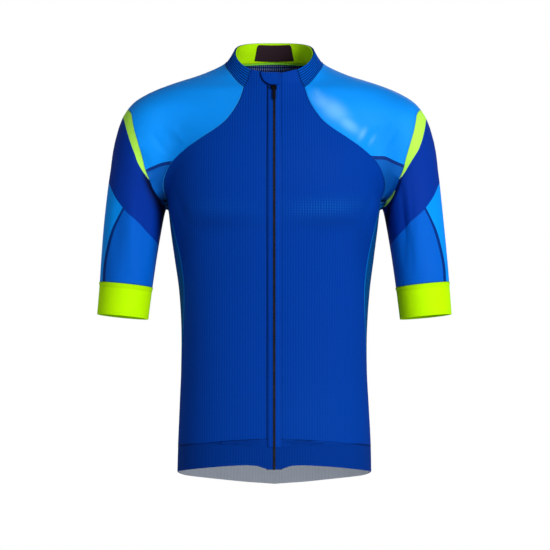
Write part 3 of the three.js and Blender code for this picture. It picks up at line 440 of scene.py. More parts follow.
class Seams:
    """The seams of the half at +X, as close rows of points on the surface."""

    def __init__(self, garment: Garment) -> None:
        self.garment = g = garment
        n = {name: FINE * count for name, count in ALONG.items()}
        self.n = n
        space = lambda table: g.settle(row(table, "x", "y", "z"))
        self.neck_side = g.line_through(space(NECK_SEAM), n["collar"])
        self.neck_back = g.line_through(space(NECK_SEAM_BACK), n["neck_back"])
        self.neck_back[-1, 0] = 0
        corner = plan_angle(np.array([FRONT_TOP_CORNER["x"], FRONT_TOP_CORNER["y"], 0.0]))
        self.corner_angle = corner
        top = self.collar_edge(corner)
        self.junction = g.line_through(np.stack([top, self.neck_side[0]]), n["junction"])
        front = np.vstack([self.neck_side[:1], g.from_front(*row(FRONT_SEAM, "x", "z").T)])
        back = np.vstack([self.neck_side[-1:], g.from_back(*row(BACK_SEAM, "x", "z").T)])
        self.front = g.line_through(front, n["seam"])
        self.back = g.line_through(back, n["seam"])
        over = g.cast(np.array([[ARMHOLE_TOP[0], ARMHOLE_TOP[1], -110.0]]), (0, 0, 1))
        under = g.cast(np.array([[ARMHOLE_UNDER[0], ARMHOLE_UNDER[1], -190.0]]), (0, 0, -1))
        steps = n["seam"] + n["collar"] // 2
        hole = lambda seen, table: np.vstack([over, seen(*row(table, "x", "z").T)])
        self.hole_front = g.line_through(hole(g.from_front, ARMHOLE_FRONT), steps, ARMHOLE_GROWTH)
        self.hole_back = g.line_through(hole(g.from_back, ARMHOLE_BACK), steps, ARMHOLE_GROWTH)
        ends = np.vstack([self.hole_front[-1:], under, self.hole_back[-1:]])
        self.hole_bottom = g.line_through(ends, n["underarm"])
        self._hem()
        edge = row(SIDE_EDGE, "y", "z")
        side = lambda y: g.cast(np.stack([0 * y, y, edge[:, 1]], axis=-1), (1, 0, 0))
        front = np.vstack([self.front[-1:], side(edge[:, 0]), self.hem_seam["side"][:1]])
        back = np.vstack([self.back[-1:], side(2 * SIDE_MIDDLE_Y - edge[:, 0]), self.hem_seam["side"][-1:]])
        self.side_front = g.line_through(front, n["side"])
        self.side_back = g.line_through(back, n["side"])

    def _hem(self) -> None:
        g, n = self.garment, self.n
        self.zip_x = (CHAIN_WIDTH + SEAM_GAP) / 2
        self.strip_x = self.zip_x + STRIP_WIDTH
        depth = SIDE_MIDDLE_Y - g.around(np.zeros(1), HEM["seam"][0])[0, 1]
        angle = lambda x: np.degrees(np.arctan2(x, depth))
        strip = angle(np.linspace(self.zip_x, self.strip_x, ACROSS["strip"] + 1))
        rest = strip[-1] + (SIDE_ANGLE - strip[-1]) * crowded(ACROSS["front"], SEAM_CROWDING)
        half = 180 + (-SIDE_ANGLE) * crowded(n["neck_back"], SEAM_CROWDING)
        angles = {
            "front": np.concatenate([strip, rest[1:]]),
            "side": np.linspace(SIDE_ANGLE, 180 - SIDE_ANGLE, n["underarm"] + 2 * FINE + 1),
            "back": half,
        }
        self.hem_seam = {k: g.around(a, read(HEM, "angle", "seam", a)) for k, a in angles.items()}
        self.hem_edge = {k: g.around(a, read(HEM, "angle", "edge", a)) for k, a in angles.items()}

    def collar_edge(self, angle: np.ndarray | float) -> np.ndarray:
        """Points of the collar's top edge at plan angles."""
        angle = np.asarray(angle, float)
        zero = np.zeros(angle.shape)
        direction = np.stack([np.sin(angle), -np.cos(angle), zero], axis=-1)
        z = zero + 10.0
        for _ in range(30):
            p = self.garment.cast(np.stack([zero, zero + NECK_MIDDLE_Y, z], axis=-1), direction)
            z = z + (read(COLLAR_TOP, "y", "z", p[..., 1]) - z) * 0.6
        return p


class Patches:
    """Grids of points for the cloth pieces, rows first, in the plain model's own layout."""

    def __init__(self, garment: Garment, seams: Seams) -> None:
        self.g = garment
        self.s = seams

    def between(self, a: np.ndarray, b: np.ndarray, steps: int) -> np.ndarray:
        """Straight rungs between two edges, laid onto the surface."""
        share = crowded(steps)[None, :, None]
        grid = a[:, None] + (b - a)[:, None] * share
        grid[:, 1:-1] = self.g.settle(grid[:, 1:-1])
        return grid

    def swept(self, a: np.ndarray, b: np.ndarray, steps: int) -> np.ndarray:
        """Level sweeps round the torso between two edges."""
        share = crowded(steps, SEAM_CROWDING)[None, :]
        mix = lambda p, q: p[:, None] + (q - p)[:, None] * share
        grid = self.g.around(mix(compass(a), compass(b)), mix(a[:, 2], b[:, 2]))
        grid[:, 0], grid[:, -1] = a, b
        return grid

    def fitted(self, grid: np.ndarray, at: int, target: np.ndarray, reach: int) -> np.ndarray:
        """The grid with its first (0) or last (-1) row moved to a target, and its near rows eased."""
        fade = np.clip(1 - np.arange(len(grid)) / reach, 0, 1)
        fade = (fade * fade * (3 - 2 * fade))[:: 1 if at == 0 else -1]
        moved = grid + (target - grid[at])[None] * fade[:, None, None]
        near = np.flatnonzero(fade > 0)
        moved[near] = self.g.settle(moved[near])
        moved[at] = target
        return moved

    def front(self) -> np.ndarray:
        """Front panel from the zip to the side, its first columns on the zip strip."""
        s, g = self.s, self.g
        side = chain(s.junction, s.front, s.side_front)
        top = np.clip(1 - np.arange(len(side)) / s.n["junction"], 0, 1)
        zip_top = s.collar_edge(np.zeros(1))[0, 2]
        z = side[:, 2] + (zip_top - side[:, 2]) * top
        middle = g.from_front(s.zip_x, z)
        middle[-1] = s.hem_seam["front"][0]
        xs = np.linspace(s.zip_x, s.strip_x, ACROSS["strip"] + 1)
        strip = g.from_front(xs[None, :], middle[:, 2][:, None])
        rest = self.swept(strip[:, -1], side, ACROSS["front"])
        grid = np.concatenate([strip, rest[:, 1:]], axis=1)
        return self.fitted(grid, -1, s.hem_seam["front"], FINE)

    def side(self) -> np.ndarray:
        """Side panel from the underarm to the hem."""
        s = self.s
        bridge = lambda a, b: self.g.settle(a + (b - a) * np.linspace(0, 1, FINE + 1)[:, None])
        top = chain(bridge(s.front[-1], s.hole_front[-1]), s.hole_bottom, bridge(s.hole_back[-1], s.back[-1]))
        grid = self.between(s.side_front, s.side_back, s.n["underarm"] + 2 * FINE)
        grid = self.fitted(grid, 0, top, 2 * FINE)
        return self.fitted(grid, -1, s.hem_seam["side"], FINE)

    def back(self) -> np.ndarray:
        """Back panel from the right side over the middle to the left side."""
        s = self.s
        side = chain(s.back, s.side_back)
        top = np.clip(1 - np.arange(len(side)) / s.n["seam"], 0, 1)
        z = side[:, 2] + (s.neck_back[-1, 2] - side[:, 2]) * top * top
        half = self.swept(self.g.from_back(0.0, z), side, s.n["neck_back"])
        half = self.fitted(half, 0, s.neck_back[::-1], FINE)
        half = self.fitted(half, -1, s.hem_seam["back"], FINE)
        return self.whole(half)

    @staticmethod
    def whole(half: np.ndarray) -> np.ndarray:
        """Both halves of a grid whose first column is the middle."""
        return np.concatenate([mirrored(half)[:, ::-1], half[:, 1:]], axis=1)

    def shoulder(self) -> np.ndarray:
        """Shoulder panel from the body seam to the armhole, over the shoulder."""
        s = self.s
        body = chain(s.front[::-1], s.neck_side, s.back)
        return calmed(self.between(body, chain(s.hole_front[::-1], s.hole_back), ACROSS["shoulder"]), 10)

    def ring(self, z: float) -> np.ndarray:
        """Ring of points round the arm at the height of its centre line."""
        line, near = self.g.line, int(np.argmin(np.abs(self.g.line[:, 2] - z)))
        way = line[near] - line[near - 1]
        way = way / np.linalg.norm(way)
        middle = line[near] + way * (z - line[near][2]) / way[2]
        outside = np.array([1.0, 0, 0]) - way * way[0]
        outside = outside / np.linalg.norm(outside)
        count = len(self.hole())
        turn = (2 * np.pi * np.arange(count) / count)[:, None]
        direction = outside * np.cos(turn) + np.cross(way, outside) * np.sin(turn)
        return self.g.cast(np.broadcast_to(middle, direction.shape), direction)

    def hole(self) -> np.ndarray:
        """The whole armhole, from the top round by the front, its end left open."""
        s = self.s
        return chain(s.hole_front, s.hole_bottom, s.hole_back[::-1])[:-1]

    def sleeve(self) -> np.ndarray:
        """Sleeve from the armhole down to the cuff, round from the outside by the front."""
        return self.between(self.hole(), self.ring(CUFF_TOP_Z), ACROSS["sleeve"]).transpose(1, 0, 2)

    def cuff(self) -> np.ndarray:
        """Cuff band."""
        rungs = self.between(self.ring(CUFF_TOP_Z), self.ring(CUFF_EDGE_Z), ACROSS["cuff"])
        return rungs.transpose(1, 0, 2)

    def hem(self, *parts: str) -> np.ndarray:
        """Hem band below one or more parts of the hem seam."""
        seam = chain(*(self.s.hem_seam[part] for part in parts))
        edge = chain(*(self.s.hem_edge[part] for part in parts))
        return self.between(seam, edge, ACROSS["hem"]).transpose(1, 0, 2)

    def collar(self) -> np.ndarray:
        """Collar from the right front's edge round the back to the left one, top row first."""
        s = self.s
        ring = chain(s.neck_side, s.neck_back)
        lean = s.corner_angle - plan_angle(ring[0])
        share = np.maximum(0, 1 - np.arange(len(ring)) / (LEAN_COLUMNS * FINE))
        angle = plan_angle(ring) + lean * share
        angle[-1] = np.pi
        rungs = self.between(s.collar_edge(angle), ring, 6 * COLLAR_RIBS)
        rungs[0] = resample(s.junction, crowded(6 * COLLAR_RIBS))
        half = rungs.transpose(1, 0, 2)
        return np.concatenate([half, mirrored(half)[:, ::-1][:, 1:]], axis=1)[:, ::-1]


def crease_height(points: np.ndarray) -> np.ndarray:
    """How far creases and the cloth's own waviness lift or sink points."""
    flat = points.reshape(-1, 3)
    total = np.zeros(len(flat))
    for table, both in ((FOLDS, True), (CREASES, False)):
        q = flat.copy()
        if both:
            q[:, 0] = np.abs(q[:, 0])
        starts, ends = row(table, "x", "y", "z"), row(table, "to_x", "to_y", "to_z")
        for start, end, width, height in zip(starts, ends, table["width"], table["height"]):
            run = end - start
            share = np.clip((q - start) @ run / (run @ run), 0, 1)
            gap = np.linalg.norm(q - start - share[:, None] * run, axis=1)
            total += height * 4 * share * (1 - share) * np.exp(-((gap / width) ** 2))
    x, y, z = flat.T
    total += 0.5 * np.sin(z / 37 + x / 61) * np.sin(x / 43 + y / 57 + 1.3)
    total += 0.45 * np.sin(z / 5.1 + 0.6 * np.sin(z / 23)) * np.exp(-((x / 15) ** 2)) * (y < 0) * (z < -60)
    return total.reshape(points.shape[:-1])


@dataclass
class Shell:
    """One cloth wall: where it lies, how thick it is and what its shader reads.

    Attributes:
        name: object name.
        grid: points on the garment surface, rows first.
        lift: height of the outer face above the surface.
        thickness: wall thickness.
        raised: more height for the outer face, per point.
        bulge: more height for both faces, per point.
        closed: whether the columns run all the way round.
        sewn: the edges that are seams (top, bottom, first, last).
        level_ribs: whether u runs level, so that ribs hang straight down.
        middle_column: the column where u is 0.
        masks: named values per point.
    """

    name: str
    grid: np.ndarray
    lift: float = 0.0
    thickness: float = CLOTH
    raised: np.ndarray | float = 0.0
    bulge: np.ndarray | float = 0.0
    closed: bool = False
    sewn: Sequence[str] = ("top", "bottom", "first", "last")
    level_ribs: bool = False
    middle_column: int = 0
    masks: dict[str, np.ndarray] = field(default_factory=dict)

    def _wrapped(self) -> np.ndarray:
        return np.concatenate([self.grid, self.grid[:, :1]], axis=1) if self.closed else self.grid

    def spread(self) -> tuple[np.ndarray, np.ndarray]:
        """Lengths across and down the cloth at each point, one column more on a closed wall."""
        grid = self._wrapped()
        across = along(grid, 1, flat=self.level_ribs)
        across = across - across[:, [self.middle_column]]
        down = along(grid, 0) if not self.level_ribs else grid[0, 0, 2] - grid[..., 2]
        return across, down

    def edge(self) -> np.ndarray:
        """Distance to the nearest sewn edge."""
        across, down = along(self._wrapped(), 1), along(self._wrapped(), 0)
        kinds = {"top": down, "bottom": down[-1:] - down, "first": across, "last": across[:, -1:] - across}
        named = [kinds[name] for name in self.sewn if not (self.closed and name in ("first", "last"))]
        nearest = np.minimum.reduce(named) if named else np.full(down.shape, 99.0)
        return nearest[:, : self.grid.shape[1]]

    def cut(self) -> tuple[float, float, float]:
        """Width, length and area of the flat cut, in metres."""
        grid = self._wrapped()
        across, down = along(grid, 1), along(grid, 0)
        d1, d2 = grid[1:, 1:] - grid[:-1, :-1], grid[1:, :-1] - grid[:-1, 1:]
        area = 0.5 * np.linalg.norm(np.cross(d1, d2), axis=-1).sum()
        return across[:, -1].max() * MM, down[-1].max() * MM, area * MM * MM

    def faces(self, garment: Garment) -> tuple[np.ndarray, np.ndarray]:
        """Outer and inner points, drawn in by half a seam gap at open edges."""
        g = self.grid
        p = g.copy()
        unit = lambda v: v / np.maximum(np.linalg.norm(v, axis=-1, keepdims=True), 1e-9)
        p[0] += unit(g[1] - g[0]) * SEAM_GAP / 2
        p[-1] += unit(g[-2] - g[-1]) * SEAM_GAP / 2
        if not self.closed:
            p[:, 0] += unit(g[:, 1] - g[:, 0]) * SEAM_GAP / 2
            p[:, -1] += unit(g[:, -2] - g[:, -1]) * SEAM_GAP / 2
        normal = calmed(garment.normal(g), 3)
        normal = normal / np.linalg.norm(normal, axis=-1, keepdims=True)
        height = self.lift + self.bulge + crease_height(g)
        outer = p + normal * (height + self.raised)[..., None]
        return outer, p + normal * (height - self.thickness)[..., None]

    def build(self, garment: Garment) -> bpy.types.Object:
        """The wall as a mesh object at the origin, with UVs in metres and its masks."""
        outer, inner = self.faces(garment)
        rows, columns = self.grid.shape[:2]
        index = np.arange(rows * columns).reshape(rows, columns)
        j0 = np.arange(columns if self.closed else columns - 1)
        j1, top, low = (j0 + 1) % columns, index[:-1], index[1:]
        face = np.stack([top[:, j0], low[:, j0], low[:, j1], top[:, j1]], axis=-1).reshape(-1, 4)
        uv = np.stack(self.spread(), axis=-1) * MM
        face_uv = np.stack([uv[:-1, j0], uv[1:, j0], uv[1:, j0 + 1], uv[:-1, j0 + 1]], axis=2).reshape(-1, 4, 2)
        shift = rows * columns
        strip = lambda a, b: np.stack([a, b, b + shift, a + shift], axis=-1)
        rims = [strip(index[0, j0], index[0, j1]), strip(index[-1, j1], index[-1, j0])]
        uv_rims = [uv[0][j0], uv[-1][j0]]
        if not self.closed:
            rims += [strip(index[1:, 0], index[:-1, 0]), strip(index[:-1, -1], index[1:, -1])]
            uv_rims += [uv[1:, 0], uv[:-1, -1]]
        rim = np.concatenate(rims)
        rim_uv = np.repeat(np.concatenate(uv_rims)[:, None], 4, axis=1)
        quads = np.concatenate([face, face[:, ::-1] + shift, rim])
        corners = np.concatenate([face_uv, face_uv[:, ::-1], rim_uv])
        a, b, c = (outer.reshape(-1, 3)[face[:, k]] for k in (0, 1, 2))
        mid = len(face) // 2
        n = garment.normal(a[mid : mid + 1])[0]
        facing = float(np.cross(b[mid] - a[mid], c[mid] - a[mid]) @ n)
        if facing < 0:
            quads, corners = quads[:, ::-1], corners[:, ::-1]
        mesh = bpy.data.meshes.new(self.name)
        points = np.concatenate([outer.reshape(-1, 3), inner.reshape(-1, 3)]) * MM
        mesh.from_pydata(points.tolist(), [], quads.tolist())
        mesh.uv_layers.new(name="UVMap").data.foreach_set("uv", corners.reshape(-1))
        for name, value in {"edge": self.edge(), **self.masks}.items():
            layer = mesh.attributes.new(name, "FLOAT", "POINT")
            layer.data.foreach_set("value", np.tile(np.asarray(value, float).reshape(-1), 2))
        slots = np.zeros(len(quads), dtype=np.int32)
        slots[len(face) : 2 * len(face)] = 1
        mesh.polygons.foreach_set("material_index", slots)
        mesh.polygons.foreach_set("use_smooth", np.ones(len(quads), dtype=bool))
        mesh.set_sharp_from_angle(angle=math.radians(50))
        mesh.update()
        thing = bpy.data.objects.new(self.name, mesh)
        bpy.context.scene.collection.objects.link(thing)
        return thing


def rgb(*levels: float) -> tuple[float, float, float, float]:
    """A linear colour from 0 to 255 screen levels."""
    def linear(level: float) -> float:
        share = level / 255
        return share / 12.92 if share <= 0.04045 else ((share + 0.055) / 1.055) ** 2.4
    return (*(linear(level) for level in levels), 1.0)


class Nodes:
    """Short calls for filling a node tree."""

    def __init__(self, tree: bpy.types.NodeTree) -> None:
        self.tree = tree

    def add(self, kind: str, *inputs: object, **settings: object) -> bpy.types.Node:
        """A node with settings, its inputs fed in order (None leaves one as it is)."""
        node = self.tree.nodes.new(kind)
        for name, value in settings.items():
            setattr(node, name, value)
        for socket, value in zip(node.inputs, inputs):
            self.feed(socket, value)
        return node

    def feed(self, socket: bpy.types.NodeSocket, value: object) -> None:
        """Links a socket to another one, or sets its value."""
        if isinstance(value, bpy.types.NodeSocket):
            self.tree.links.new(value, socket)
        elif value is not None:
            socket.default_value = value

    def math(self, operation: str, *inputs: object) -> bpy.types.NodeSocket:
        """Result of a sum."""
        return self.add("ShaderNodeMath", *inputs, operation=operation).outputs[0]

    def mix(self, share: object, a: object, b: object) -> bpy.types.NodeSocket:
        """A colour between two."""
        node = self.add("ShaderNodeMix", data_type="RGBA", clamp_factor=True)
        for k, value in ((0, share), (6, a), (7, b)):
            self.feed(node.inputs[k], value)
        return node.outputs[2]

    def shade(self, colour: object, level: object) -> bpy.types.NodeSocket:
        """A colour made darker or lighter by a level."""
        return self.add("ShaderNodeVectorMath", colour, None, None, level, operation="SCALE").outputs[0]

    def ramp(self, value: object, low: float, high: float, out_low: float = 0.0, out_high: float = 1.0):
        """A value eased between two limits."""
        return self.add("ShaderNodeMapRange", value, low, high, out_low, out_high,
                        interpolation_type="SMOOTHSTEP").outputs[0]

    def mask(self, name: str) -> bpy.types.NodeSocket:
        """A named value of the mesh."""
        return self.add("ShaderNodeAttribute", attribute_name=name).outputs["Fac"]

    def wave(self, value: object, pitch: object) -> bpy.types.NodeSocket:
        """A cosine wave from 0 to 1 along a value, 1 at 0."""
        turn = self.math("MULTIPLY", self.math("DIVIDE", value, pitch), 2 * math.pi)
        return self.math("MULTIPLY_ADD", self.math("COSINE", turn), 0.5, 0.5)


class Groups:
    """Shared shader effects."""

    _made: dict[str, bpy.types.NodeTree] = {}

    @classmethod
    def get(cls, name: str) -> bpy.types.NodeTree:
        """The node group of a name, made once."""
        if name not in cls._made:
            cls._made[name] = getattr(cls, "_" + name)()
        return cls._made[name]

    @staticmethod
    def _tree(name: str, inputs: dict[str, float], outputs: Sequence[str]) -> tuple:
        tree = bpy.data.node_groups.new(name, "ShaderNodeTree")
        for label, value in inputs.items():
            socket = tree.interface.new_socket(label, in_out="INPUT", socket_type="NodeSocketFloat")
            socket.default_value = value
        for label in outputs:
            tree.interface.new_socket(label, in_out="OUTPUT", socket_type="NodeSocketFloat")
        nodes = Nodes(tree)
        return nodes, nodes.add("NodeGroupInput").outputs, nodes.add("NodeGroupOutput").inputs

    @staticmethod
    def _in_mm(nodes: Nodes) -> tuple:
        uv = nodes.add("ShaderNodeUVMap", uv_map="UVMap").outputs[0]
        split = nodes.add("ShaderNodeSeparateXYZ", uv).outputs
        return nodes.math("MULTIPLY", split[0], 1000.0), nodes.math("MULTIPLY", split[1], 1000.0)

    @classmethod
    def _ribs(cls) -> bpy.types.NodeTree:
        """Ribs along v, with a ladder of small openings in the furrows between them."""
        inputs = {"Pitch": 4.0, "Ladder": 1.9, "Widening": 0.0}
        nodes, given, out = cls._tree("Ribbed knit", inputs, ("Height", "Furrow", "Opening", "Step"))
        u, v = cls._in_mm(nodes)
        size = nodes.math("ABSOLUTE", u)
        wider = nodes.math("MULTIPLY_ADD", nodes.math("MULTIPLY", size, given["Widening"]), 0.001, 1.0)
        rib = nodes.wave(nodes.math("DIVIDE", size, wider), given["Pitch"])
        furrow = nodes.math("SUBTRACT", 1.0, rib)
        step = nodes.wave(v, given["Ladder"])
        opening = nodes.math("MULTIPLY", nodes.math("POWER", furrow, 2.0), step)
        nodes.feed(out["Height"], nodes.math("SUBTRACT", rib, nodes.math("MULTIPLY", opening, 0.5)))
        nodes.feed(out["Furrow"], furrow)
        nodes.feed(out["Opening"], opening)
        nodes.feed(out["Step"], step)
        return nodes.tree

    @classmethod
    def _weave(cls) -> bpy.types.NodeTree:
        """Small stitches of a fine knit, in two slanting rows."""
        nodes, given, out = cls._tree("Fine knit", {"Pitch": 0.8}, ("Height",))
        u, v = cls._in_mm(nodes)
        slant = nodes.math("ABSOLUTE", nodes.math("SUBTRACT", nodes.wave(u, given["Pitch"]), 0.5))
        rows = nodes.wave(nodes.math("ADD", v, slant), given["Pitch"])
        nodes.feed(out["Height"], nodes.math("MULTIPLY", rows, nodes.wave(u, given["Pitch"])))
        return nodes.tree

    @classmethod
    def _tone(cls) -> bpy.types.NodeTree:
        """Slight uneven colour of dyed cloth."""
        nodes, given, out = cls._tree("Cloth tone", {"Amount": 0.06}, ("Level", "Soft"))
        place = nodes.add("ShaderNodeTexCoord").outputs["Object"]
        wide = nodes.add("ShaderNodeTexNoise", place, None, 14.0, 2.0).outputs[0]
        fine = nodes.add("ShaderNodeTexNoise", place, None, 900.0, 1.0).outputs[0]
        both = nodes.math("ADD", nodes.math("SUBTRACT", wide, 0.5), nodes.math("SUBTRACT", fine, 0.5))
        nodes.feed(out["Level"], nodes.math("MULTIPLY_ADD", both, given["Amount"], 1.0))
        nodes.feed(out["Soft"], wide)
        return nodes.tree

    @classmethod
    def _seam(cls) -> bpy.types.NodeTree:
        """Furrow beside a seam, darkened with painted shade, and the slight roll of the cloth next to it."""
        nodes, given, out = cls._tree("Seam edge", {"Width": 1.4, "Dark": 0.55}, ("Level", "Height"))
        gap = nodes.mask("edge")
        near = nodes.math("DIVIDE", gap, given["Width"])
        well = nodes.math("EXPONENT", nodes.math("MULTIPLY", nodes.math("MULTIPLY", near, near), -1.0))
        roll = nodes.math("MULTIPLY", near, well)
        level = nodes.math("SUBTRACT", 1.0, nodes.math("MULTIPLY", well, given["Dark"]))
        nodes.feed(out["Level"], level)
        nodes.feed(out["Height"], nodes.math("SUBTRACT", nodes.math("MULTIPLY", roll, 1.4), well))
        return nodes.tree


@dataclass(frozen=True)
class Print:
    """A printed field or a painted highlight: a colour where a mask lies between two values."""

    mask: str
    colour: tuple
    low: float = 0.0
    high: float = 1e4
    soft: float = 0.15


@dataclass(frozen=True)
class Finish:
    """How a cloth looks.

    Attributes:
        colour: main colour.
        ribs: rib pitch in mm, or 0 for a fine plain knit.
        ladder: pitch of the openings between ribs.
        widening: how much the ribs spread away from the middle.
        furrow: how dark the painted shade in the furrows and openings is.
        depth: height of the relief in mm.
        weave: stitch pitch of the fine knit.
        roughness: surface roughness.
        sheen: strength of the soft sheen.
        gloss: specular level.
        seam: how dark the painted shade in the seams' furrows is.
        floats: how clearly pale threads show in the furrows.
        glints: whether they show instead as painted glints in highlight blue, only where the wall's glint mask
            says.
        prints: printed fields and painted highlights over the main colour.
    """

    colour: tuple
    ribs: float = 0.0
    ladder: float = 1.9
    widening: float = 0.0
    furrow: float = 0.3
    depth: float = 0.25
    weave: float = 0.8
    roughness: float = 0.7
    sheen: float = 0.0
    gloss: float = 0.03
    seam: float = 0.3
    floats: float = 0.0
    glints: bool = False
    prints: tuple[Print, ...] = ()

    def build(self, name: str) -> bpy.types.Material:
        """The finish as a material."""
        material = bpy.data.materials.new(name)
        material.use_nodes = True
        nodes = Nodes(material.node_tree)
        shader = material.node_tree.nodes["Principled BSDF"]
        group = lambda key, **inputs: self._group(nodes, key, inputs)
        colour: object = self.colour
        for field_ in self.prints:
            value = nodes.mask(field_.mask)
            inside = nodes.ramp(value, field_.low - field_.soft, field_.low + field_.soft)
            if field_.high < 1e4:
                leaving = nodes.ramp(value, field_.high - field_.soft, field_.high + field_.soft, 1.0, 0.0)
                inside = nodes.math("MULTIPLY", inside, leaving)
            colour = nodes.mix(inside, colour, field_.colour)
        if isinstance(colour, tuple):
            rgb_node = nodes.add("ShaderNodeRGB")
            rgb_node.outputs[0].default_value = colour
            colour = rgb_node.outputs[0]
        tone = group("tone")
        seam = group("seam", Dark=self.seam)
        level = nodes.math("MULTIPLY", tone["Level"], seam["Level"])
        # The wall's shade mask darkens the colour: painted shade.
        level = nodes.math("MULTIPLY", level, nodes.math("SUBTRACT", 1.0, nodes.mask("shade")))
        if self.ribs:
            knit = group("ribs", Pitch=self.ribs, Ladder=self.ladder, Widening=self.widening)
            # Painted shade in the rib furrows and their openings.
            dark = nodes.math("MULTIPLY_ADD", knit["Opening"], 0.6, knit["Furrow"])
            level = nodes.math("MULTIPLY", level, nodes.math("MULTIPLY_ADD", dark, -self.furrow, 1.0))
            # Pale threads in the furrows; with glints, painted glints of light in highlight blue instead.
            if self.floats:
                shown = nodes.math("MULTIPLY", nodes.ramp(knit["Furrow"], 0.6, 0.85), nodes.ramp(knit["Step"], 0.1, 0.5))
                shown = nodes.math("MULTIPLY", shown, nodes.mask("glint")) if self.glints else shown
                colour = nodes.mix(nodes.math("MULTIPLY", shown, self.floats), colour,
                                   PAINTED_HIGHLIGHT_BLUE if self.glints else FLOAT)
        else:
            knit = group("weave", Pitch=self.weave)
        height = nodes.math("MULTIPLY_ADD", seam["Height"], 1.5, knit["Height"])
        bump = nodes.add("ShaderNodeBump", 0.8, self.depth * MM, None, height)
        nodes.feed(shader.inputs["Base Color"], nodes.shade(colour, level))
        nodes.feed(shader.inputs["Normal"], bump.outputs[0])
        nodes.feed(shader.inputs["Roughness"],
                   nodes.ramp(tone["Soft"], 0.3, 0.7, self.roughness - 0.04, self.roughness + 0.04))
        shader.inputs["Specular IOR Level"].default_value = self.gloss
        shader.inputs["Sheen Weight"].default_value = self.sheen
        shader.inputs["Sheen Roughness"].default_value = 0.4
        return material

    @staticmethod
    def _group(nodes: Nodes, key: str, inputs: dict) -> object:
        node = nodes.add("ShaderNodeGroup", node_tree=Groups.get(key))
        for label, value in inputs.items():
            node.inputs[label].default_value = value
        return node.outputs


ROYAL = rgb(0, 58, 158)
BRIGHT = rgb(0, 146, 252)
MIDDLE = rgb(0, 95, 205)
DARK = rgb(0, 50, 155)
LINE = rgb(0, 46, 128)
NEON = rgb(190, 255, 0)
PALE_NEON = rgb(184, 250, 84)
TEAL = rgb(0, 74, 140)
NAVY = rgb(5, 36, 92)
PALE = rgb(230, 240, 255)
FLOAT = rgb(150, 158, 196)
# Blue of painted highlights: the rolled seam edge of a shoulder and the fronts' glints.
PAINTED_HIGHLIGHT_BLUE = rgb(40, 165, 255)
PAINTED_EDGE_HIGHLIGHT = Print("piping_and_edge_highlight", PAINTED_HIGHLIGHT_BLUE, 0.2)


class Cloth(Enum):
    """Every cloth finish of the jersey."""

    FRONT = Finish(ROYAL, ribs=3.9, widening=0.3, furrow=0.12, depth=0.25, ladder=3.9, floats=0.3, glints=True)
    BACK = Finish(ROYAL, ribs=3.9, widening=0.3, furrow=0.16, depth=0.35)
    SIDE = Finish(TEAL, ribs=2.6, ladder=2.6, furrow=0.25, depth=0.4, prints=(
        Print("piping_and_edge_highlight", rgb(0, 112, 215), 0.2),))
    COLLAR = Finish(rgb(0, 92, 210), weave=1.2, depth=0.3)
    HEM = Finish(rgb(0, 52, 142), ribs=2.4, ladder=1.4, furrow=0.12, depth=0.3, seam=0.65)
    # The shoulder's last two fields are painted highlights: one along a rolled seam edge, one a sheen.
    SHOULDER = Finish(BRIGHT, roughness=0.5, gloss=0.1, depth=0.12, weave=0.7, seam=0.2, prints=(
        Print("stripe", rgb(0, 94, 186)), Print("stripe", LINE, 0.0, STRIPE_WIDTH), PAINTED_EDGE_HIGHLIGHT,
        Print("painted_highlight", rgb(105, 185, 255), 0.6, soft=0.55)))
    SLEEVE = Finish(MIDDLE, roughness=0.52, gloss=0.05, depth=0.12, weave=0.7, seam=0.25, prints=(
        Print("wedge", BRIGHT), Print("wedge", LINE, -WEDGE_LINE_WIDTH, 0.0),
        Print("band", DARK), Print("neon", PALE_NEON)))
    CUFF = Finish(NEON, weave=0.9, roughness=0.6, depth=0.15, seam=0.35)
    FACING = Finish(rgb(184, 248, 10), weave=0.9, depth=0.15, seam=0.4)
    TAPE = Finish(rgb(130, 225, 70), weave=1.0, depth=0.2, seam=0.2)
    LABEL = Finish(rgb(46, 33, 40), weave=0.5, roughness=0.45, depth=0.06, seam=0.0)
    POCKET = Finish(ROYAL, ribs=3.9, furrow=0.16, depth=0.35, seam=0.35)
    INSIDE = Finish(NAVY, ribs=3.4, ladder=5.2, furrow=0.1, depth=0.3, floats=0.6)
    PALE_INSIDE = Finish(PALE, ribs=2.4, ladder=1.4, furrow=0.12, depth=0.3, seam=0.15)
    ZIP_TAPE = Finish(rgb(8, 8, 12), weave=1.0, roughness=0.8, depth=0.2, seam=0.0)

    def material(self) -> bpy.types.Material:
        """This finish's material, made once."""
        name = self.name.lower()
        return bpy.data.materials.get(name) or self.value.build(name)


def hard_material(name: str, colour: tuple, roughness: float, metallic: float = 0.0,
                  gloss: float = 0.1) -> bpy.types.Material:
    """A moulded or cast material with faint grain and worn tone."""
    material = bpy.data.materials.new(name)
    material.use_nodes = True
    nodes = Nodes(material.node_tree)
    shader = material.node_tree.nodes["Principled BSDF"]
    place = nodes.add("ShaderNodeTexCoord").outputs["Object"]
    grain = nodes.add("ShaderNodeTexNoise", place, None, 1800.0, 2.0).outputs[0]
    nodes.feed(shader.inputs["Base Color"], nodes.mix(nodes.ramp(grain, 0.35, 0.7), colour,
               tuple(min(1.0, c * 1.5 + 0.001) for c in colour[:3]) + (1.0,)))
    nodes.feed(shader.inputs["Roughness"], nodes.ramp(grain, 0.3, 0.7, roughness - 0.08, roughness + 0.08))
    bump = nodes.add("ShaderNodeBump", 0.3, 0.05 * MM, None, grain)
    nodes.feed(shader.inputs["Normal"], bump.outputs[0])
    shader.inputs["Metallic"].default_value = metallic
    shader.inputs["Specular IOR Level"].default_value = gloss
    return material


def declare(piece: bpy.types.Object, nodes: Sequence[str], body: str = "garment") -> None:
    """Puts a piece on its body, in place of its nodes."""
    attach(piece, body)
    if nodes:
        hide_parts(*nodes)


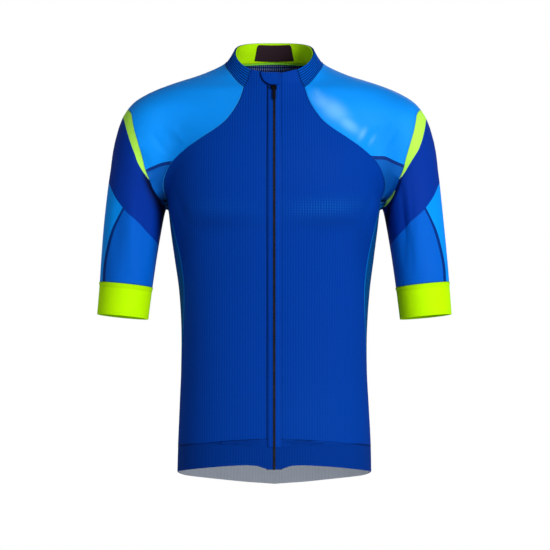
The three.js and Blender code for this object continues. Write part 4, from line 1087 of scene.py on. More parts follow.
def sight(points: np.ndarray, turned: bool = True) -> tuple[np.ndarray, np.ndarray]:
    """Pixels across from the middle and down at which the view shows points; the back mirrors the front."""
    x, y, z = np.moveaxis(points, -1, 0)
    y = np.where(turned & (y > 4), 8 - y, y)
    scale = SIGHT["scale"] * (1 + y / SIGHT["distance"])
    return np.abs(x) / scale, SIGHT["middle_y"] - (z - SIGHT["height"]) / scale


def soft_spots(across: np.ndarray, down: np.ndarray, table: dict) -> np.ndarray:
    """Strongest of some soft oval spots, at places in the view."""
    spots = []
    for x, y, turn, long, wide, strength in zip(*(table[k] for k in ("across", "down", "turn", "long", "wide",
                                                                      "strength"))):
        c, s = math.cos(math.radians(turn)), math.sin(math.radians(turn))
        u, v = (across - x) * c + (down - y) * s, (down - y) * c - (across - x) * s
        spots.append(strength * np.exp(-((u / long) ** 2) - (v / wide) ** 2))
    return np.maximum.reduce(spots)


class Tailor:
    """Makes every cloth piece and keeps the stitch lines that its pieces ask for."""

    def __init__(self) -> None:
        self.garment = Garment()
        self.seams = Seams(self.garment)
        self.patches = Patches(self.garment, self.seams)
        self.threads: dict[str, list[tuple[np.ndarray, np.ndarray]]] = {}

    def sew(self, shell: Shell, node: str, slot: str, outer: Cloth, inner: Cloth,
            held: str = "stretched") -> bpy.types.Object:
        piece = shell.build(self.garment)
        piece.data.materials.append(outer.material())
        piece.data.materials.append(inner.material())
        declare(piece, [node])
        width, length, area = shell.cut()
        log.info("%s is cut %.0f x %.0f mm, %.4f m2", shell.name, width / MM, length / MM, area)
        length = max(length, 0.0105)
        area = min(max(area, 0.31 * width * length), width * length)
        return piece

    def stitch(self, shell: Shell, thread: str, edge: str, inset: float, height: float = 0.0,
               low_thread: str = "") -> None:
        """Asks for a line of stitches at a distance in from a wall's edge.

        Args:
            shell: the wall.
            thread: name of the thread.
            edge: which edge (top, bottom, first, last).
            inset: distance in from the edge.
            height: height above the outer face.
            low_thread: another thread for the part below LOW_THREAD_Z.
        """
        grid = shell.grid
        lanes = {"top": grid.transpose(1, 0, 2), "bottom": grid[::-1].transpose(1, 0, 2),
                 "first": grid, "last": grid[:, ::-1]}[edge]
        line = []
        for lane in lanes:
            length = along(lane[:12])
            line.append([np.interp(inset, length, lane[:12, k]) for k in range(3)])
        line = np.array(line)
        if shell.closed and edge in ("top", "bottom"):
            line = np.vstack([line, line[:1]])
        low = (line[:, 2] < LOW_THREAD_Z) & bool(low_thread)
        cuts = np.flatnonzero(np.diff(low)) + 1
        for part, first in zip(np.split(line, cuts), [0, *cuts]):
            if len(part) > 1:
                self.run(part, low_thread if low[first] else thread, shell.lift + height)

    def run(self, line: np.ndarray, thread: str, height: float) -> None:
        """Asks for stitches along a line on the surface, at a height above it."""
        line = self.garment.settle(line)
        normal = self.garment.normal(line)
        lifted = line + normal * (height + 0.12 + crease_height(line))[:, None]
        self.threads.setdefault(thread, []).append((lifted, normal))


def stitch_tree() -> bpy.types.NodeTree:
    """Geometry nodes that lay short stitches along lines."""
    tree = bpy.data.node_groups.new("Stitch run", "GeometryNodeTree")
    tree.interface.new_socket("Lines", in_out="INPUT", socket_type="NodeSocketGeometry")
    for label, value in (("Spacing", 3.2 * MM), ("Stitch Length", 2.3 * MM), ("Thread Width", 0.42 * MM)):
        tree.interface.new_socket(label, in_out="INPUT", socket_type="NodeSocketFloat").default_value = value
    tree.interface.new_socket("Thread", in_out="INPUT", socket_type="NodeSocketMaterial")
    tree.interface.new_socket("Stitches", in_out="OUTPUT", socket_type="NodeSocketGeometry")
    nodes = Nodes(tree)
    given = nodes.add("NodeGroupInput").outputs
    curve = nodes.add("GeometryNodeMeshToCurve", given["Lines"]).outputs[0]
    points = nodes.add("GeometryNodeResampleCurve", mode="LENGTH")
    nodes.feed(points.inputs["Curve"], curve)
    nodes.feed(points.inputs["Length"], given["Spacing"])
    half = nodes.math("MULTIPLY", given["Stitch Length"], 0.5)
    thin = nodes.math("MULTIPLY", given["Thread Width"], 0.5)
    size = nodes.add("ShaderNodeCombineXYZ", half, thin, thin).outputs[0]
    ball = nodes.add("GeometryNodeMeshUVSphere", 6, 4, 1.0).outputs[0]
    out = nodes.add("GeometryNodeInputNamedAttribute", "out", data_type="FLOAT_VECTOR").outputs[0]
    tangent = nodes.add("GeometryNodeInputTangent").outputs[0]
    turn = nodes.add("FunctionNodeAxesToRotation", tangent, out, primary_axis="X", secondary_axis="Z")
    placed = nodes.add("GeometryNodeInstanceOnPoints")
    for label, value in (("Points", points.outputs[0]), ("Instance", ball), ("Rotation", turn.outputs[0]),
                         ("Scale", size)):
        nodes.feed(placed.inputs[label], value)
    _finish_tree(nodes, placed.outputs[0], given["Thread"])
    return tree


def _finish_tree(nodes: Nodes, instances: bpy.types.NodeSocket, material: bpy.types.NodeSocket) -> None:
    """Ends a tree: real geometry, smooth, with its material."""
    real = nodes.add("GeometryNodeRealizeInstances", instances).outputs[0]
    smooth = nodes.add("GeometryNodeSetShadeSmooth", real).outputs[0]
    worn = nodes.add("GeometryNodeSetMaterial")
    nodes.feed(worn.inputs["Geometry"], smooth)
    nodes.feed(worn.inputs["Material"], material)
    nodes.add("NodeGroupOutput", worn.outputs[0])


def chain_tree() -> bpy.types.NodeTree:
    """Geometry nodes that lay zip teeth along a line, on both sides in turn."""
    tree = bpy.data.node_groups.new("Zip chain", "GeometryNodeTree")
    tree.interface.new_socket("Line", in_out="INPUT", socket_type="NodeSocketGeometry")
    sizes = (("Pitch", 0.8 * MM), ("Tooth Length", 2.0 * MM), ("Tooth Width", 0.95 * MM),
             ("Tooth Height", 1.1 * MM), ("Side Shift", 0.55 * MM))
    for label, value in sizes:
        tree.interface.new_socket(label, in_out="INPUT", socket_type="NodeSocketFloat").default_value = value
    tree.interface.new_socket("Plastic", in_out="INPUT", socket_type="NodeSocketMaterial")
    tree.interface.new_socket("Teeth", in_out="OUTPUT", socket_type="NodeSocketGeometry")
    nodes = Nodes(tree)
    given = nodes.add("NodeGroupInput").outputs
    points = nodes.add("GeometryNodeResampleCurve", mode="LENGTH")
    nodes.feed(points.inputs["Curve"], nodes.add("GeometryNodeMeshToCurve", given["Line"]).outputs[0])
    nodes.feed(points.inputs["Length"], given["Pitch"])
    halves = [nodes.math("MULTIPLY", given[name], 0.5) for name in ("Tooth Width", "Tooth Length", "Tooth Height")]
    size = nodes.add("ShaderNodeCombineXYZ", *halves).outputs[0]
    tooth = nodes.add("GeometryNodeMeshUVSphere", 8, 5, 1.0).outputs[0]
    out = nodes.add("GeometryNodeInputNamedAttribute", "out", data_type="FLOAT_VECTOR").outputs[0]
    tangent = nodes.add("GeometryNodeInputTangent").outputs[0]
    turn = nodes.add("FunctionNodeAxesToRotation", tangent, out, primary_axis="X", secondary_axis="Z")
    placed = nodes.add("GeometryNodeInstanceOnPoints")
    for label, value in (("Points", points.outputs[0]), ("Instance", tooth), ("Rotation", turn.outputs[0]),
                         ("Scale", size)):
        nodes.feed(placed.inputs[label], value)
    index = nodes.add("GeometryNodeInputIndex").outputs[0]
    side = nodes.math("MULTIPLY_ADD", nodes.math("MODULO", index, 2.0), 2.0, -1.0)
    shift = nodes.add("ShaderNodeCombineXYZ", 0.0, nodes.math("MULTIPLY", side, given["Side Shift"]), 0.0)
    moved = nodes.add("GeometryNodeTranslateInstances")
    nodes.feed(moved.inputs["Instances"], placed.outputs[0])
    nodes.feed(moved.inputs["Translation"], shift.outputs[0])
    moved.inputs["Local Space"].default_value = False
    _finish_tree(nodes, moved.outputs[0], given["Plastic"])
    return tree


def lay(name: str, lines: Sequence[tuple[np.ndarray, np.ndarray]], tree: bpy.types.NodeTree,
        inputs: dict[str, object]) -> bpy.types.Object:
    """Runs a geometry node tree over lines with outward directions, and keeps the result as a mesh.

    Args:
        name: object name.
        lines: for each line its points and outward directions, in mm.
        tree: the node tree.
        inputs: values for the tree's named inputs.

    Returns:
        A plain mesh object without modifiers.
    """
    points, edges, outs = [], [], []
    for line, out in lines:
        start = len(points)
        points += (line * MM).tolist()
        outs += out.tolist()
        edges += [(start + k, start + k + 1) for k in range(len(line) - 1)]
    mesh = bpy.data.meshes.new(name + "_lines")
    mesh.from_pydata(points, edges, [])
    mesh.attributes.new("out", "FLOAT_VECTOR", "POINT").data.foreach_set("vector", np.ravel(outs))
    thing = bpy.data.objects.new(name, mesh)
    bpy.context.scene.collection.objects.link(thing)
    modifier = thing.modifiers.new("lay", "NODES")
    modifier.node_group = tree
    for item in tree.interface.items_tree:
        if item.in_out == "INPUT" and item.name in inputs:
            modifier[item.identifier] = inputs[item.name]
    depsgraph = bpy.context.evaluated_depsgraph_get()
    made = bpy.data.meshes.new_from_object(thing.evaluated_get(depsgraph), depsgraph=depsgraph)
    made.name = name
    thing.modifiers.remove(modifier)
    thing.data = made
    bpy.data.meshes.remove(mesh)
    return thing


def loft(name: str, rings: np.ndarray, capped: bool = True) -> bpy.types.Object:
    """A solid run through closed rings of points, in metres."""
    count, per = rings.shape[:2]
    index = np.arange(count * per).reshape(count, per)
    nxt = np.roll(index, -1, axis=1)
    quads = np.stack([index[:-1], nxt[:-1], nxt[1:], index[1:]], axis=-1).reshape(-1, 4).tolist()
    if capped:
        quads += [index[0][::-1].tolist(), index[-1].tolist()]
    else:
        last = np.stack([index[-1], nxt[-1], nxt[0], index[0]], axis=-1)
        quads += last.tolist()
    mesh = bpy.data.meshes.new(name)
    mesh.from_pydata(rings.reshape(-1, 3).tolist(), [], quads)
    mesh.polygons.foreach_set("use_smooth", np.ones(len(mesh.polygons), dtype=bool))
    mesh.set_sharp_from_angle(angle=math.radians(40))
    thing = bpy.data.objects.new(name, mesh)
    bpy.context.scene.collection.objects.link(thing)
    return thing


def joined(name: str, things: Sequence[bpy.types.Object]) -> bpy.types.Object:
    """Several objects made into one."""
    with bpy.context.temp_override(active_object=things[0], selected_editable_objects=list(things)):
        bpy.ops.object.join()
    things[0].name = things[0].data.name = name
    return things[0]


def prism(outline: np.ndarray, low: float, high: float, bevel: float) -> np.ndarray:
    """Rings of a bevelled flat block over an outline, in its own x, y, z."""
    middle = outline.mean(axis=0)
    small = middle + (outline - middle) * (1 - bevel / np.abs(outline - middle).max())
    at = lambda shape, z: np.column_stack([shape, np.full(len(shape), z)])
    return np.stack([at(small, low), at(outline, low + bevel), at(outline, high - bevel), at(small, high)])


def rounded(width: float, length: float, power: float = 4.0, count: int = 28) -> np.ndarray:
    """A rounded rectangle's outline."""
    turn = 2 * np.pi * np.arange(count) / count
    c, s = np.cos(turn), np.sin(turn)
    shape = lambda v: np.sign(v) * np.abs(v) ** (2 / power)
    return np.column_stack([shape(c) * width / 2, shape(s) * length / 2])


@dataclass
class Body:
    """Fronts, sides, back, shoulder panels, pocket and hem bands."""

    tailor: Tailor

    def make(self) -> None:
        """Builds the body's cloth."""
        self._fronts()
        self._sides()
        self._back()
        self._shoulders()
        self._hems()

    def _fronts(self) -> None:
        grid = self.tailor.patches.front()
        across = along(grid, 1)
        strip = STRIP_RISE * np.clip((STRIP_WIDTH - across) / 0.8 + 0.5, 0, 1)
        groove = -0.5 * np.exp(-(((across - STRIP_WIDTH - 0.9) / 0.8) ** 2))
        bell = lambda middle, width: np.exp(-(((across - middle) / width) ** 2))
        for name, side, well, painted_highlight in (("left", 1, 0.3, -0.16), ("right", -1, 0.8, 0.05)):
            # Painted shade in the groove beside the zip strip, with a painted highlight over the strip on one side
            # and slight painted shade on the other.
            shade = well * bell(STRIP_WIDTH + 0.8, 1.3) + painted_highlight * bell(STRIP_WIDTH / 2 + 1, 3.2)
            if side < 0:
                # Painted shadow cast by the flap's free edge.
                shade = np.maximum(shade, 0.93 * np.exp(-((self._from_flap(grid) / 1.9) ** 2)))
            # Painted shade under the chest.
            shade += soft_spots(*sight(grid), CHEST_SHADE)
            # The glint mask places painted glints on the chest, weaker on one side.
            shell = Shell("front_cloth_" + name, grid if side > 0 else mirrored(grid), raised=strip + groove,
                          level_ribs=True, sewn=("bottom", "last"),
                          masks={"shade": shade, "glint": soft_spots(*sight(grid), CHEST_GLINT) * (1 if side > 0 else 0.35)})
            self.tailor.sew(shell, "front_" + name, "ribbed_mesh", Cloth.FRONT, Cloth.INSIDE)
            self.tailor.stitch(shell, "blue", "last", 2.0)
            self.tailor.stitch(shell, "blue", "first", 6.2, STRIP_RISE)
            self.tailor.stitch(shell, "blue", "bottom", 2.6)

    @staticmethod
    def _painted_top_shade(grid: np.ndarray) -> np.ndarray:
        """Painted shade of the shoulders towards their tops, as faces turn up."""
        normal = np.cross(np.gradient(grid, axis=0), np.gradient(grid, axis=1))
        up = np.abs(normal[..., 2]) / np.maximum(np.linalg.norm(normal, axis=-1), 1e-9)
        return 0.45 * np.clip(up / 0.9 - 0.35, 0, 1)

    @staticmethod
    def _from_flap(grid: np.ndarray) -> np.ndarray:
        """Distance of points, seen from the front, from the free edge of the flap over the zip's top."""
        down = np.linspace(0, 1, 60)
        x = -GARAGE["left"] * np.sqrt(1 - down * down * GARAGE["roundness"]) + 0.6
        z = GARAGE["top"] + (GARAGE["bottom"] - GARAGE["top"]) * down - 0.6 * down
        gap = np.full(grid.shape[:2], 99.0)
        near = np.argwhere((grid[..., 2] > GARAGE["bottom"] - 12) & (grid[..., 0] < 30))
        i, j = near.T
        gap[i, j] = np.min(np.hypot(grid[i, j, 0][:, None] - x, grid[i, j, 2][:, None] - z), axis=1)
        return gap

    def _sides(self) -> None:
        grid = self.tailor.patches.side()
        for name, side in (("left", 1), ("right", -1)):
            shell = Shell("side_cloth_" + name, grid if side > 0 else mirrored(grid), level_ribs=True,
                          middle_column=grid.shape[1] // 2, masks={"piping_and_edge_highlight": 3.6 - along(grid, 1)})
            self.tailor.sew(shell, "side_" + name, "side_mesh", Cloth.SIDE, Cloth.INSIDE)
            self.tailor.stitch(shell, "blue", "bottom", 2.6)

    def _back(self) -> None:
        tailor = self.tailor
        grid = tailor.patches.back()
        half = grid.shape[1] // 2
        shell = Shell("back_cloth", grid, level_ribs=True, middle_column=half)
        tailor.sew(shell, "back", "ribbed_mesh", Cloth.BACK, Cloth.INSIDE)
        for edge in ("first", "last"):
            tailor.stitch(shell, "blue", edge, 2.0)
        patch = grid[POCKET["first_row"] * FINE :, POCKET["side_column"] * FINE : -POCKET["side_column"] * FINE]
        across, down = along(patch, 1), along(patch, 0)
        share = across / across[:, -1:]
        third = np.abs(((share * 3 + 0.5) % 1) - 0.5) * across[:, -1:] / 3
        inner_seam = np.where((share > 0.15) & (share < 0.85), third, 99.0)
        sides = np.minimum(across, across[:, -1:] - across)
        seam = np.minimum(inner_seam, np.minimum(sides, down[-1:] - down))
        bulge = 2.6 * (1 - np.exp(-((seam / 26) ** 2))) * np.clip(1.25 - down / down[-1:], 0, 1)
        band = 0.7 * np.clip((17 - down) / 1.5 + 0.5, 0, 1)
        pocket = Shell("pocket_cloth", patch, lift=CLOTH + LAYER_GAP, level_ribs=True, raised=band, bulge=bulge,
                       middle_column=patch.shape[1] // 2, sewn=("bottom", "first", "last"))
        pocket.masks["pocket"] = inner_seam
        tailor.sew(pocket, "back_pocket", "ribbed_mesh", Cloth.POCKET, Cloth.INSIDE)
        for edge in ("first", "last", "bottom"):
            tailor.stitch(pocket, "blue", edge, 2.2)
        for place in (1 / 3, 2 / 3):
            column = np.stack([resample(lane, np.array([place]))[0] for lane in patch])
            tailor.run(column, "blue", CLOTH + LAYER_GAP + 0.4)
        tailor.stitch(pocket, "blue", "top", 15.0, 1.4)

    def _shoulders(self) -> None:
        grid = self.tailor.patches.shoulder()
        across, down = sight(grid)
        for name, side, table in (("left", 1, STRIPE_LEFT), ("right", -1, STRIPE_RIGHT)):
            line = read(table, "across", "down", across)
            # On one shoulder only, a painted highlight along the rolled seam edge where it catches the light.
            piping_and_edge_highlight = 1.3 - along(grid, 1) if side < 0 else np.zeros(across.shape)
            # Painted sheen of the key light on one shoulder, as a lighter blue field.
            painted_highlight = soft_spots(across, down, SHEEN) * (grid[..., 1] < 4) if side > 0 else np.zeros(across.shape)
            # The shoulders' shade mask is painted shade at their low ends by the armpits and towards their tops.
            shell = Shell("shoulder_cloth_" + name, grid if side > 0 else mirrored(grid),
                          masks={"stripe": (down - line) * SIGHT["scale"], "piping_and_edge_highlight": piping_and_edge_highlight, "painted_highlight": painted_highlight,
                                 "shade": np.maximum(0.85 * np.clip((down - 192) / 9, 0, 1), self._painted_top_shade(grid))})
            self.tailor.sew(shell, "shoulder_" + name, "smooth_knit", Cloth.SHOULDER, Cloth.INSIDE)
            self.tailor.stitch(shell, "bright", "first", 2.0)
            self.tailor.stitch(shell, "bright", "last", 2.0)

    def _hems(self) -> None:
        tailor = self.tailor
        grid = tailor.patches.hem("front", "side")
        for name, side in (("left", 1), ("right", -1)):
            shell = Shell("hem_cloth_" + name, grid if side > 0 else mirrored(grid), level_ribs=True,
                          sewn=("top", "last"))
            tailor.sew(shell, "hem_front_" + name, "hem_band", Cloth.HEM, Cloth.PALE_INSIDE)
            tailor.stitch(shell, "blue", "top", 2.4)
            tailor.stitch(shell, "blue", "bottom", 3.0)
        grid = Patches.whole(tailor.patches.hem("back"))
        shell = Shell("hem_cloth_back", grid, level_ribs=True, middle_column=grid.shape[1] // 2)
        tailor.sew(shell, "hem_back", "hem_band", Cloth.HEM, Cloth.PALE_INSIDE)
        tailor.stitch(shell, "blue", "top", 2.4)
        tailor.stitch(shell, "blue", "bottom", 3.0)


@dataclass
class Sleeves:
    """Sleeves with their printed fields, and the cuff bands."""

    tailor: Tailor

    def make(self) -> None:
        """Builds both sleeves and cuffs."""
        patches = self.tailor.patches
        grid, cuff = patches.sleeve(), patches.cuff()
        across, down = sight(grid)
        band = read(BAND_EDGE, "across", "down", across) - down
        wedge = across - read(WEDGE_EDGE, "down", "across", down)
        from_top = along(cuff, 0)
        rib = CUFF_RIB * np.clip((3.5 - from_top) / 1.2 + 0.5, 0, 1)
        for name, side, table, dark in (("left", 1, NEON_LEFT, SHADE_LEFT), ("right", -1, NEON_RIGHT, SHADE_RIGHT)):
            neon = (read(table, "down", "across", down) - across) * SIGHT["scale"]
            hidden = (down > NEON_GAP[0]) & ((down < NEON_GAP[1]) | (side < 0)) | (down > table["down"][-1])
            masks = {"band": band * SIGHT["scale"], "wedge": wedge * SIGHT["scale"],
                     "neon": np.where(hidden, -1.0, neon)}
            # Painted shade in the armpit folds, kept off the neon stripe and off the back.
            middle, width, depth = (np.interp(down, dark["down"], dark[key]) for key in ("across", "width", "dark"))
            clear = np.clip(0.5 - masks["neon"], 0, 1) * (grid[..., 1] < 4)
            masks["shade"] = depth * np.exp(-(((across - middle) / width) ** 2)) * clear
            shell = Shell("sleeve_cloth_" + name, grid if side > 0 else mirrored(grid), closed=True, masks=masks)
            self.tailor.sew(shell, "sleeve_" + name, "sleeve_knit", Cloth.SLEEVE, Cloth.INSIDE)
            self.tailor.stitch(shell, "neon", "top", 2.0, low_thread="blue")
            # The cuff's shade mask is a painted shade line below its top rib.
            shell = Shell("cuff_cloth_" + name, cuff if side > 0 else mirrored(cuff), closed=True,
                          thickness=CUFF_CLOTH, raised=rib, sewn=("top",),
                          masks={"shade": 0.16 * np.exp(-(((from_top - 5.2) / 1.6) ** 2))})
            self.tailor.sew(shell, "cuff_" + name, "cuff_band", Cloth.CUFF, Cloth.CUFF)
            self.tailor.stitch(shell, "neon", "top", 2.6, CUFF_RIB)
            self.tailor.stitch(shell, "neon", "bottom", 4.0)


@dataclass
class Collar:
    """Ribbed collar, its facing, the neck tape and the bare label."""

    tailor: Tailor

    def make(self) -> None:
        """Builds the collar and what is sewn inside it."""
        tailor, g = self.tailor, self.tailor.garment
        grid = tailor.patches.collar()
        share = crowded(len(grid) - 1)[:, None]
        ribs = COLLAR_RIB_HEIGHT * (0.5 - 0.5 * np.cos(2 * np.pi * COLLAR_RIBS * share)) + 0 * grid[..., 0]
        # The collar's shade mask is painted shade in the furrows between its ribs.
        shell = Shell("collar_cloth", grid, raised=ribs, sewn=("bottom", "first", "last"),
                      masks={"shade": 0.82 * (1 - ribs / COLLAR_RIB_HEIGHT)})
        tailor.sew(shell, "collar", "collar_rib", Cloth.COLLAR, Cloth.FACING)
        inside = -(CLOTH + INSIDE_GAP)
        facing = Shell("facing_cloth", grid[::4], lift=inside, thickness=FACING_CLOTH, sewn=("bottom",))
        tailor.sew(facing, "collar_facing", "neck_facing", Cloth.FACING, Cloth.FACING)
        seam = Patches.whole(tailor.seams.neck_back[::-1][None])[0]
        below = tailor.patches.back()[1] - seam
        lower = g.settle(seam + below * TAPE_HEIGHT / np.linalg.norm(below, axis=1)[:, None])
        tape_grid = np.stack([seam + (lower - seam) * t for t in np.linspace(0, 1, 5)])
        tape = Shell("neck_tape_cloth", tape_grid, lift=inside, thickness=FACING_CLOTH, sewn=())
        tailor.sew(tape, "neck_tape", "neck_facing", Cloth.TAPE, Cloth.TAPE)
        up = np.array([1, 0.97, 0.9, 0.8, 0.65, 0.5, 0.25, 0.0])
        z = LABEL["bottom"] + (LABEL["top"] - LABEL["bottom"]) * up
        over = np.maximum(0, z - (LABEL["top"] - LABEL["corner"])) / LABEL["corner"]
        half = LABEL["half_width"] - LABEL["corner"] * (1 - np.sqrt(1 - over * over))
        across = half[:, None] * np.linspace(1, -1, 33)[None, :]
        start = np.stack([across, np.full(across.shape, float(LABEL["near_y"])), z[:, None] + 0 * across], -1)
        lift = inside - FACING_CLOTH - INSIDE_GAP
        label = Shell("label_cloth", g.settle(start, level=True), lift=lift, thickness=LABEL["cloth"], sewn=())
        tailor.sew(label, "neck_label", "neck_label", Cloth.LABEL, Cloth.LABEL)


@dataclass
class Zip:
    """Zip tape, teeth, flap, slider, pull tab and the small loop."""

    tailor: Tailor

    def make(self) -> None:
        """Builds the zip."""
        self._tape()
        self._garage()
        self._slider()

    def _tape(self) -> None:
        tailor, s = self.tailor, self.tailor.seams
        front = tailor.patches.front()
        z = np.append(front[:-1, 0, 2], s.hem_edge["front"][0, 2])
        half = TAPE_WIDTH / 2
        xs = np.concatenate([np.linspace(-half, -2.2, 7), [-1.9, -1.45], np.linspace(-1.2, 1.2, 3), [1.45, 1.9],
                             np.linspace(2.2, half, 7)])
        grid = tailor.garment.from_front(xs[None, :], z[:, None])
        behind = -(CLOTH + LAYER_GAP)
        chain_on = (np.abs(xs) < 1.6) * (CHAIN_RISE - 0.5 - behind)
        shell = Shell("zip_tape_cloth", grid, lift=behind, thickness=TAPE_CLOTH, raised=chain_on + 0 * grid[..., 0],
                      sewn=())
        tailor.sew(shell, "zip_tape", "zip_tape", Cloth.ZIP_TAPE, Cloth.ZIP_TAPE)
        line = tailor.garment.from_front(0.0, z[8:])
        out = tailor.garment.normal(line)
        plastic = hard_material("zip_teeth_plastic", rgb(1, 1, 3), 0.85, gloss=0.02)
        lifted = line + out * (CHAIN_RISE - 0.35 + crease_height(line))[:, None]
        teeth = lay("zip_teeth", [(lifted, out)], chain_tree(), {"Plastic": plastic})
        declare(teeth, [])

    def _garage(self) -> None:
        g = self.tailor.garment
        down = np.linspace(0, 1, 25)
        z = GARAGE["top"] + (GARAGE["bottom"] - GARAGE["top"]) * down
        left = GARAGE["left"] * np.sqrt(1 - down * down * GARAGE["roundness"])
        x = left[:, None] + (GARAGE["right"] - left)[:, None] * np.linspace(0, 1, 31)[None, :]
        shell = Shell("zip_flap_cloth", g.from_front(x, z[:, None]), lift=STRIP_RISE + GARAGE["clear"] + GARAGE["cloth"],
                      thickness=GARAGE["cloth"], level_ribs=True, sewn=("last",))
        self.tailor.sew(shell, "zip_garage", "ribbed_mesh", Cloth.FRONT, Cloth.FRONT)
        self.tailor.stitch(shell, "blue", "first", 1.6)
        self.tailor.stitch(shell, "blue", "bottom", 1.6)

    def _place(self, local: np.ndarray) -> np.ndarray:
        """Points of the slider's own frame (across, up the zip, outwards) in metres in the scene."""
        g = self.tailor.garment
        p = g.from_front(0.0, np.array([SLIDER["z"]]))
        out = g.normal(p)[0] * [0, 1, 1]
        out = out / np.linalg.norm(out)
        up = np.cross(out, [1.0, 0, 0])
        start = p[0] + out * (STRIP_RISE + LAYER_GAP)
        return (start + local[..., :1] * [1.0, 0, 0] + local[..., 1:2] * up + local[..., 2:] * out) * MM

    def _slider(self) -> None:
        metal = hard_material("zip_slider_metal", rgb(3, 3, 5), 0.45, 0.3)
        rubber = hard_material("zip_pull_rubber", rgb(2, 2, 4), 0.6)
        pin_y = -SLIDER["length"] / 2 + SLIDER["pin_up"]
        pin_z = SLIDER["base"] + SEAM_GAP + PULL["eye"]
        width, length, base = SLIDER["width"], SLIDER["length"], SLIDER["base"]
        plate = rounded(width, length, 5)
        plate[:, 0] *= 0.86 + 0.14 * (plate[:, 1] / length + 0.5)
        pieces = [loft("slider_plate", self._place(prism(plate, 0.0, base, 0.35)))]
        height = base + SLIDER["rise"]
        for side in (-1, 1):
            cheek = rounded(length, height - 0.2, 5)
            rings = prism(cheek, 0, SLIDER["cheek"], 0.2)
            x = side * (width - SLIDER["cheek"]) / 2 + (rings[..., 2] - SLIDER["cheek"] / 2)
            local = np.stack([x, rings[..., 0], rings[..., 1] + height / 2 + 0.1], axis=-1)
            pieces.append(loft("slider_cheek", self._place(local)))
        turn = 2 * np.pi * np.arange(12) / 12
        across = np.linspace(-0.5, 0.5, 2) * (width - SLIDER["cheek"])
        pin = np.stack([np.column_stack([np.full(12, x), pin_y + SLIDER["pin"] * np.cos(turn),
                                         pin_z + SLIDER["pin"] * np.sin(turn)]) for x in across])
        pieces.append(loft("slider_pin", self._place(pin)))
        slider = joined("zip_slider_body", pieces)
        slider.data.materials.append(metal)
        declare(slider, ["zip_slider"])
        self._pull(pin_y, pin_z, rubber)
        self._loop(metal)

    def _pull(self, pin_y: float, pin_z: float, rubber: bpy.types.Material) -> None:
        steps = np.linspace(0, 1, 90)
        y = pin_y - PULL["eye"] - 0.1 - steps * (PULL["length"] - PULL["eye"] - 0.1)
        grip = np.clip(steps / 0.1, 0, 1) * np.clip((1 - steps) / 0.06, 0, 1)
        ridge = PULL["ridge"] * (0.5 + 0.5 * np.cos(2 * np.pi * (steps * (PULL["ridges"] + 2)))) * grip
        end = np.sqrt(np.clip(1 - np.clip((steps - 0.94) / 0.06, 0, 1) ** 2, 0.02, 1))
        neck = 0.62 + 0.38 * np.clip(steps / 0.16, 0, 1)
        half_width = PULL["width"] / 2 * neck * (0.75 + 0.25 * end) + ridge * 0.4
        half_height = PULL["thickness"] / 2 * (0.6 + 0.4 * end) + ridge
        ring = rounded(2, 2, 4, 24)
        rings = np.stack([np.column_stack([ring[:, 0] * w, np.full(24, yy), pin_z + ring[:, 1] * h])
                          for w, yy, h in zip(half_width, y, half_height)])
        tab = loft("pull_tab", self._place(rings))
        turn = 2 * np.pi * np.arange(28) / 28
        middle, tube = (PULL["eye"] + PULL["hole"]) / 2, (PULL["eye"] - PULL["hole"]) / 2
        small = 2 * np.pi * np.arange(10) / 10
        eye = np.stack([np.column_stack([
            PULL["width"] * 0.31 * np.sin(small),
            pin_y + (middle + tube * np.cos(small)) * np.cos(t),
            pin_z + (middle + tube * np.cos(small)) * np.sin(t)]) for t in turn])
        ring_piece = loft("pull_eye", self._place(eye), capped=False)
        pull = joined("zip_pull_tab", [tab, ring_piece])
        pull.data.materials.append(rubber)
        declare(pull, ["zip_pull"], "zip_pull")

    def _loop(self, material: bpy.types.Material) -> None:
        g = self.tailor.garment
        turn = np.linspace(0, 2 * np.pi, 25)[:-1]
        x, z = -6.5 + 2.4 * np.cos(turn), -44.5 + 2.2 * np.sin(turn)
        line = g.from_front(x, z)
        out = g.normal(line)
        middle = line + out * (STRIP_RISE + 0.7)
        way = np.roll(middle, -1, axis=0) - np.roll(middle, 1, axis=0)
        way /= np.linalg.norm(way, axis=1, keepdims=True)
        side = np.cross(way, out)
        small = 2 * np.pi * np.arange(8) / 8
        rings = middle[:, None] + 0.45 * (side[:, None] * np.cos(small)[None, :, None]
                                          + out[:, None] * np.sin(small)[None, :, None])
        loop = loft("zip_cord_loop", rings * MM, capped=False)
        loop.data.materials.append(material)
        declare(loop, [])


THREADS = {"blue": rgb(0, 54, 150), "bright": rgb(0, 130, 235), "neon": rgb(165, 230, 10)}


def lay_stitches(tailor: Tailor) -> None:
    """Turns every stitch line that was asked for into thread."""
    tree = stitch_tree()
    for name, lines in tailor.threads.items():
        thread = hard_material("thread_" + name, THREADS[name], 0.6)
        piece = lay("stitches_" + name, lines, tree, {"Thread": thread})
        declare(piece, [])
        log.info("%s thread: %d faces", name, len(piece.data.polygons))


@dataclass(frozen=True)
class Lamp:
    """A soft area light."""

    name: str
    place: tuple[float, float, float]
    size: float
    power: float


LAMPS = (
    Lamp("key", (1.75, -2.5, 0.8), 1.4, 94),
    Lamp("fill", (-2.5, -1.7, 0.0), 1.6, 9),
    Lamp("top", (0.0, -0.6, 2.2), 1.6, 2.5),
    Lamp("rim", (0.3, 2.4, 0.8), 1.6, 9),
)


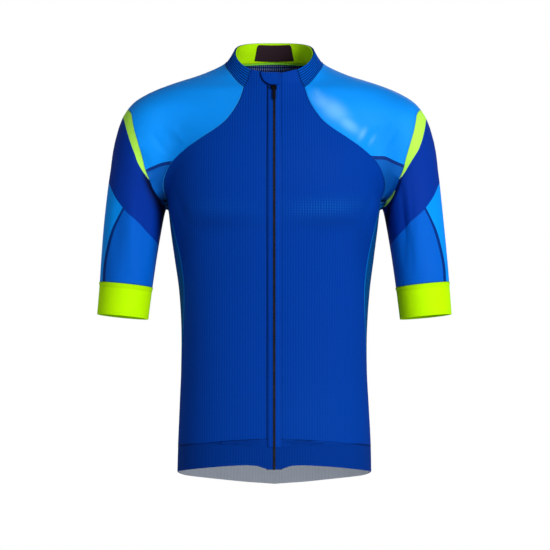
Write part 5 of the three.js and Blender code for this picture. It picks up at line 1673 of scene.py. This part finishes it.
class Studio:
    """Camera, soft lights, pale surroundings and floor."""

    AIM = (0.0012, 0.0, -0.3259)
    FLOOR_Z = -1.6
    FLOOR_RADIUS = 3.4

    def make(self) -> None:
        """Sets the studio up."""
        scene = bpy.context.scene
        scene.view_settings.view_transform = "Standard"
        data = bpy.data.cameras.new("camera")
        data.sensor_width = 36.0
        data.lens = 36.0 * SIGHT["distance"] / (550 * SIGHT["scale"])
        camera = bpy.data.objects.new("camera", data)
        camera.location = (self.AIM[0], -SIGHT["distance"] * MM, self.AIM[2])
        camera.rotation_euler = (math.pi / 2, 0, 0)
        scene.collection.objects.link(camera)
        scene.camera = camera
        for lamp in LAMPS:
            self._lamp(lamp)
        self._surroundings(scene)
        self._floor()

    def _lamp(self, lamp: Lamp) -> None:
        data = bpy.data.lights.new(lamp.name, "AREA")
        data.shape, data.size, data.energy = "DISK", lamp.size, lamp.power
        thing = bpy.data.objects.new(lamp.name, data)
        thing.location = lamp.place
        thing.rotation_euler = (Vector(self.AIM) - Vector(lamp.place)).to_track_quat("-Z", "Y").to_euler()
        bpy.context.scene.collection.objects.link(thing)

    @staticmethod
    def _surroundings(scene: bpy.types.Scene) -> None:
        """White to the eye, and softer as light."""
        world = bpy.data.worlds.new("studio")
        world.use_nodes = True
        nodes = Nodes(world.node_tree)
        background = world.node_tree.nodes["Background"]
        seen = nodes.add("ShaderNodeLightPath").outputs["Is Camera Ray"]
        nodes.feed(background.inputs["Strength"], nodes.ramp(seen, 0.0, 1.0, 0.22, 1.0))
        background.inputs["Color"].default_value = (1, 1, 1, 1)
        scene.world = world

    def _floor(self) -> None:
        turn = 2 * np.pi * np.arange(96) / 96
        rim = [(self.FLOOR_RADIUS * math.cos(t), self.FLOOR_RADIUS * math.sin(t), self.FLOOR_Z) for t in turn]
        mesh = bpy.data.meshes.new("floor")
        mesh.from_pydata(rim, [], [list(range(96))])
        material = bpy.data.materials.new("floor_paint")
        material.use_nodes = True
        shader = material.node_tree.nodes["Principled BSDF"]
        shader.inputs["Base Color"].default_value = (0.92, 0.92, 0.92, 1)
        shader.inputs["Roughness"].default_value = 0.9
        nodes = Nodes(material.node_tree)
        seen = nodes.add("ShaderNodeLightPath").outputs["Is Camera Ray"]
        nodes.feed(shader.inputs["Emission Strength"], nodes.ramp(seen, 0.0, 1.0, 0.0, 0.55))
        mesh.materials.append(material)
        thing = bpy.data.objects.new("floor", mesh)
        bpy.context.scene.collection.objects.link(thing)


def main() -> None:
    """Builds the whole scene."""
    logging.basicConfig(level=logging.INFO, format="%(message)s")
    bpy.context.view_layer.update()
    Studio().make()
    tailor = Tailor()
    for assembly in (Body(tailor), Sleeves(tailor), Collar(tailor), Zip(tailor)):
        assembly.make()
    lay_stitches(tailor)


if __name__ == "__main__":
    main()
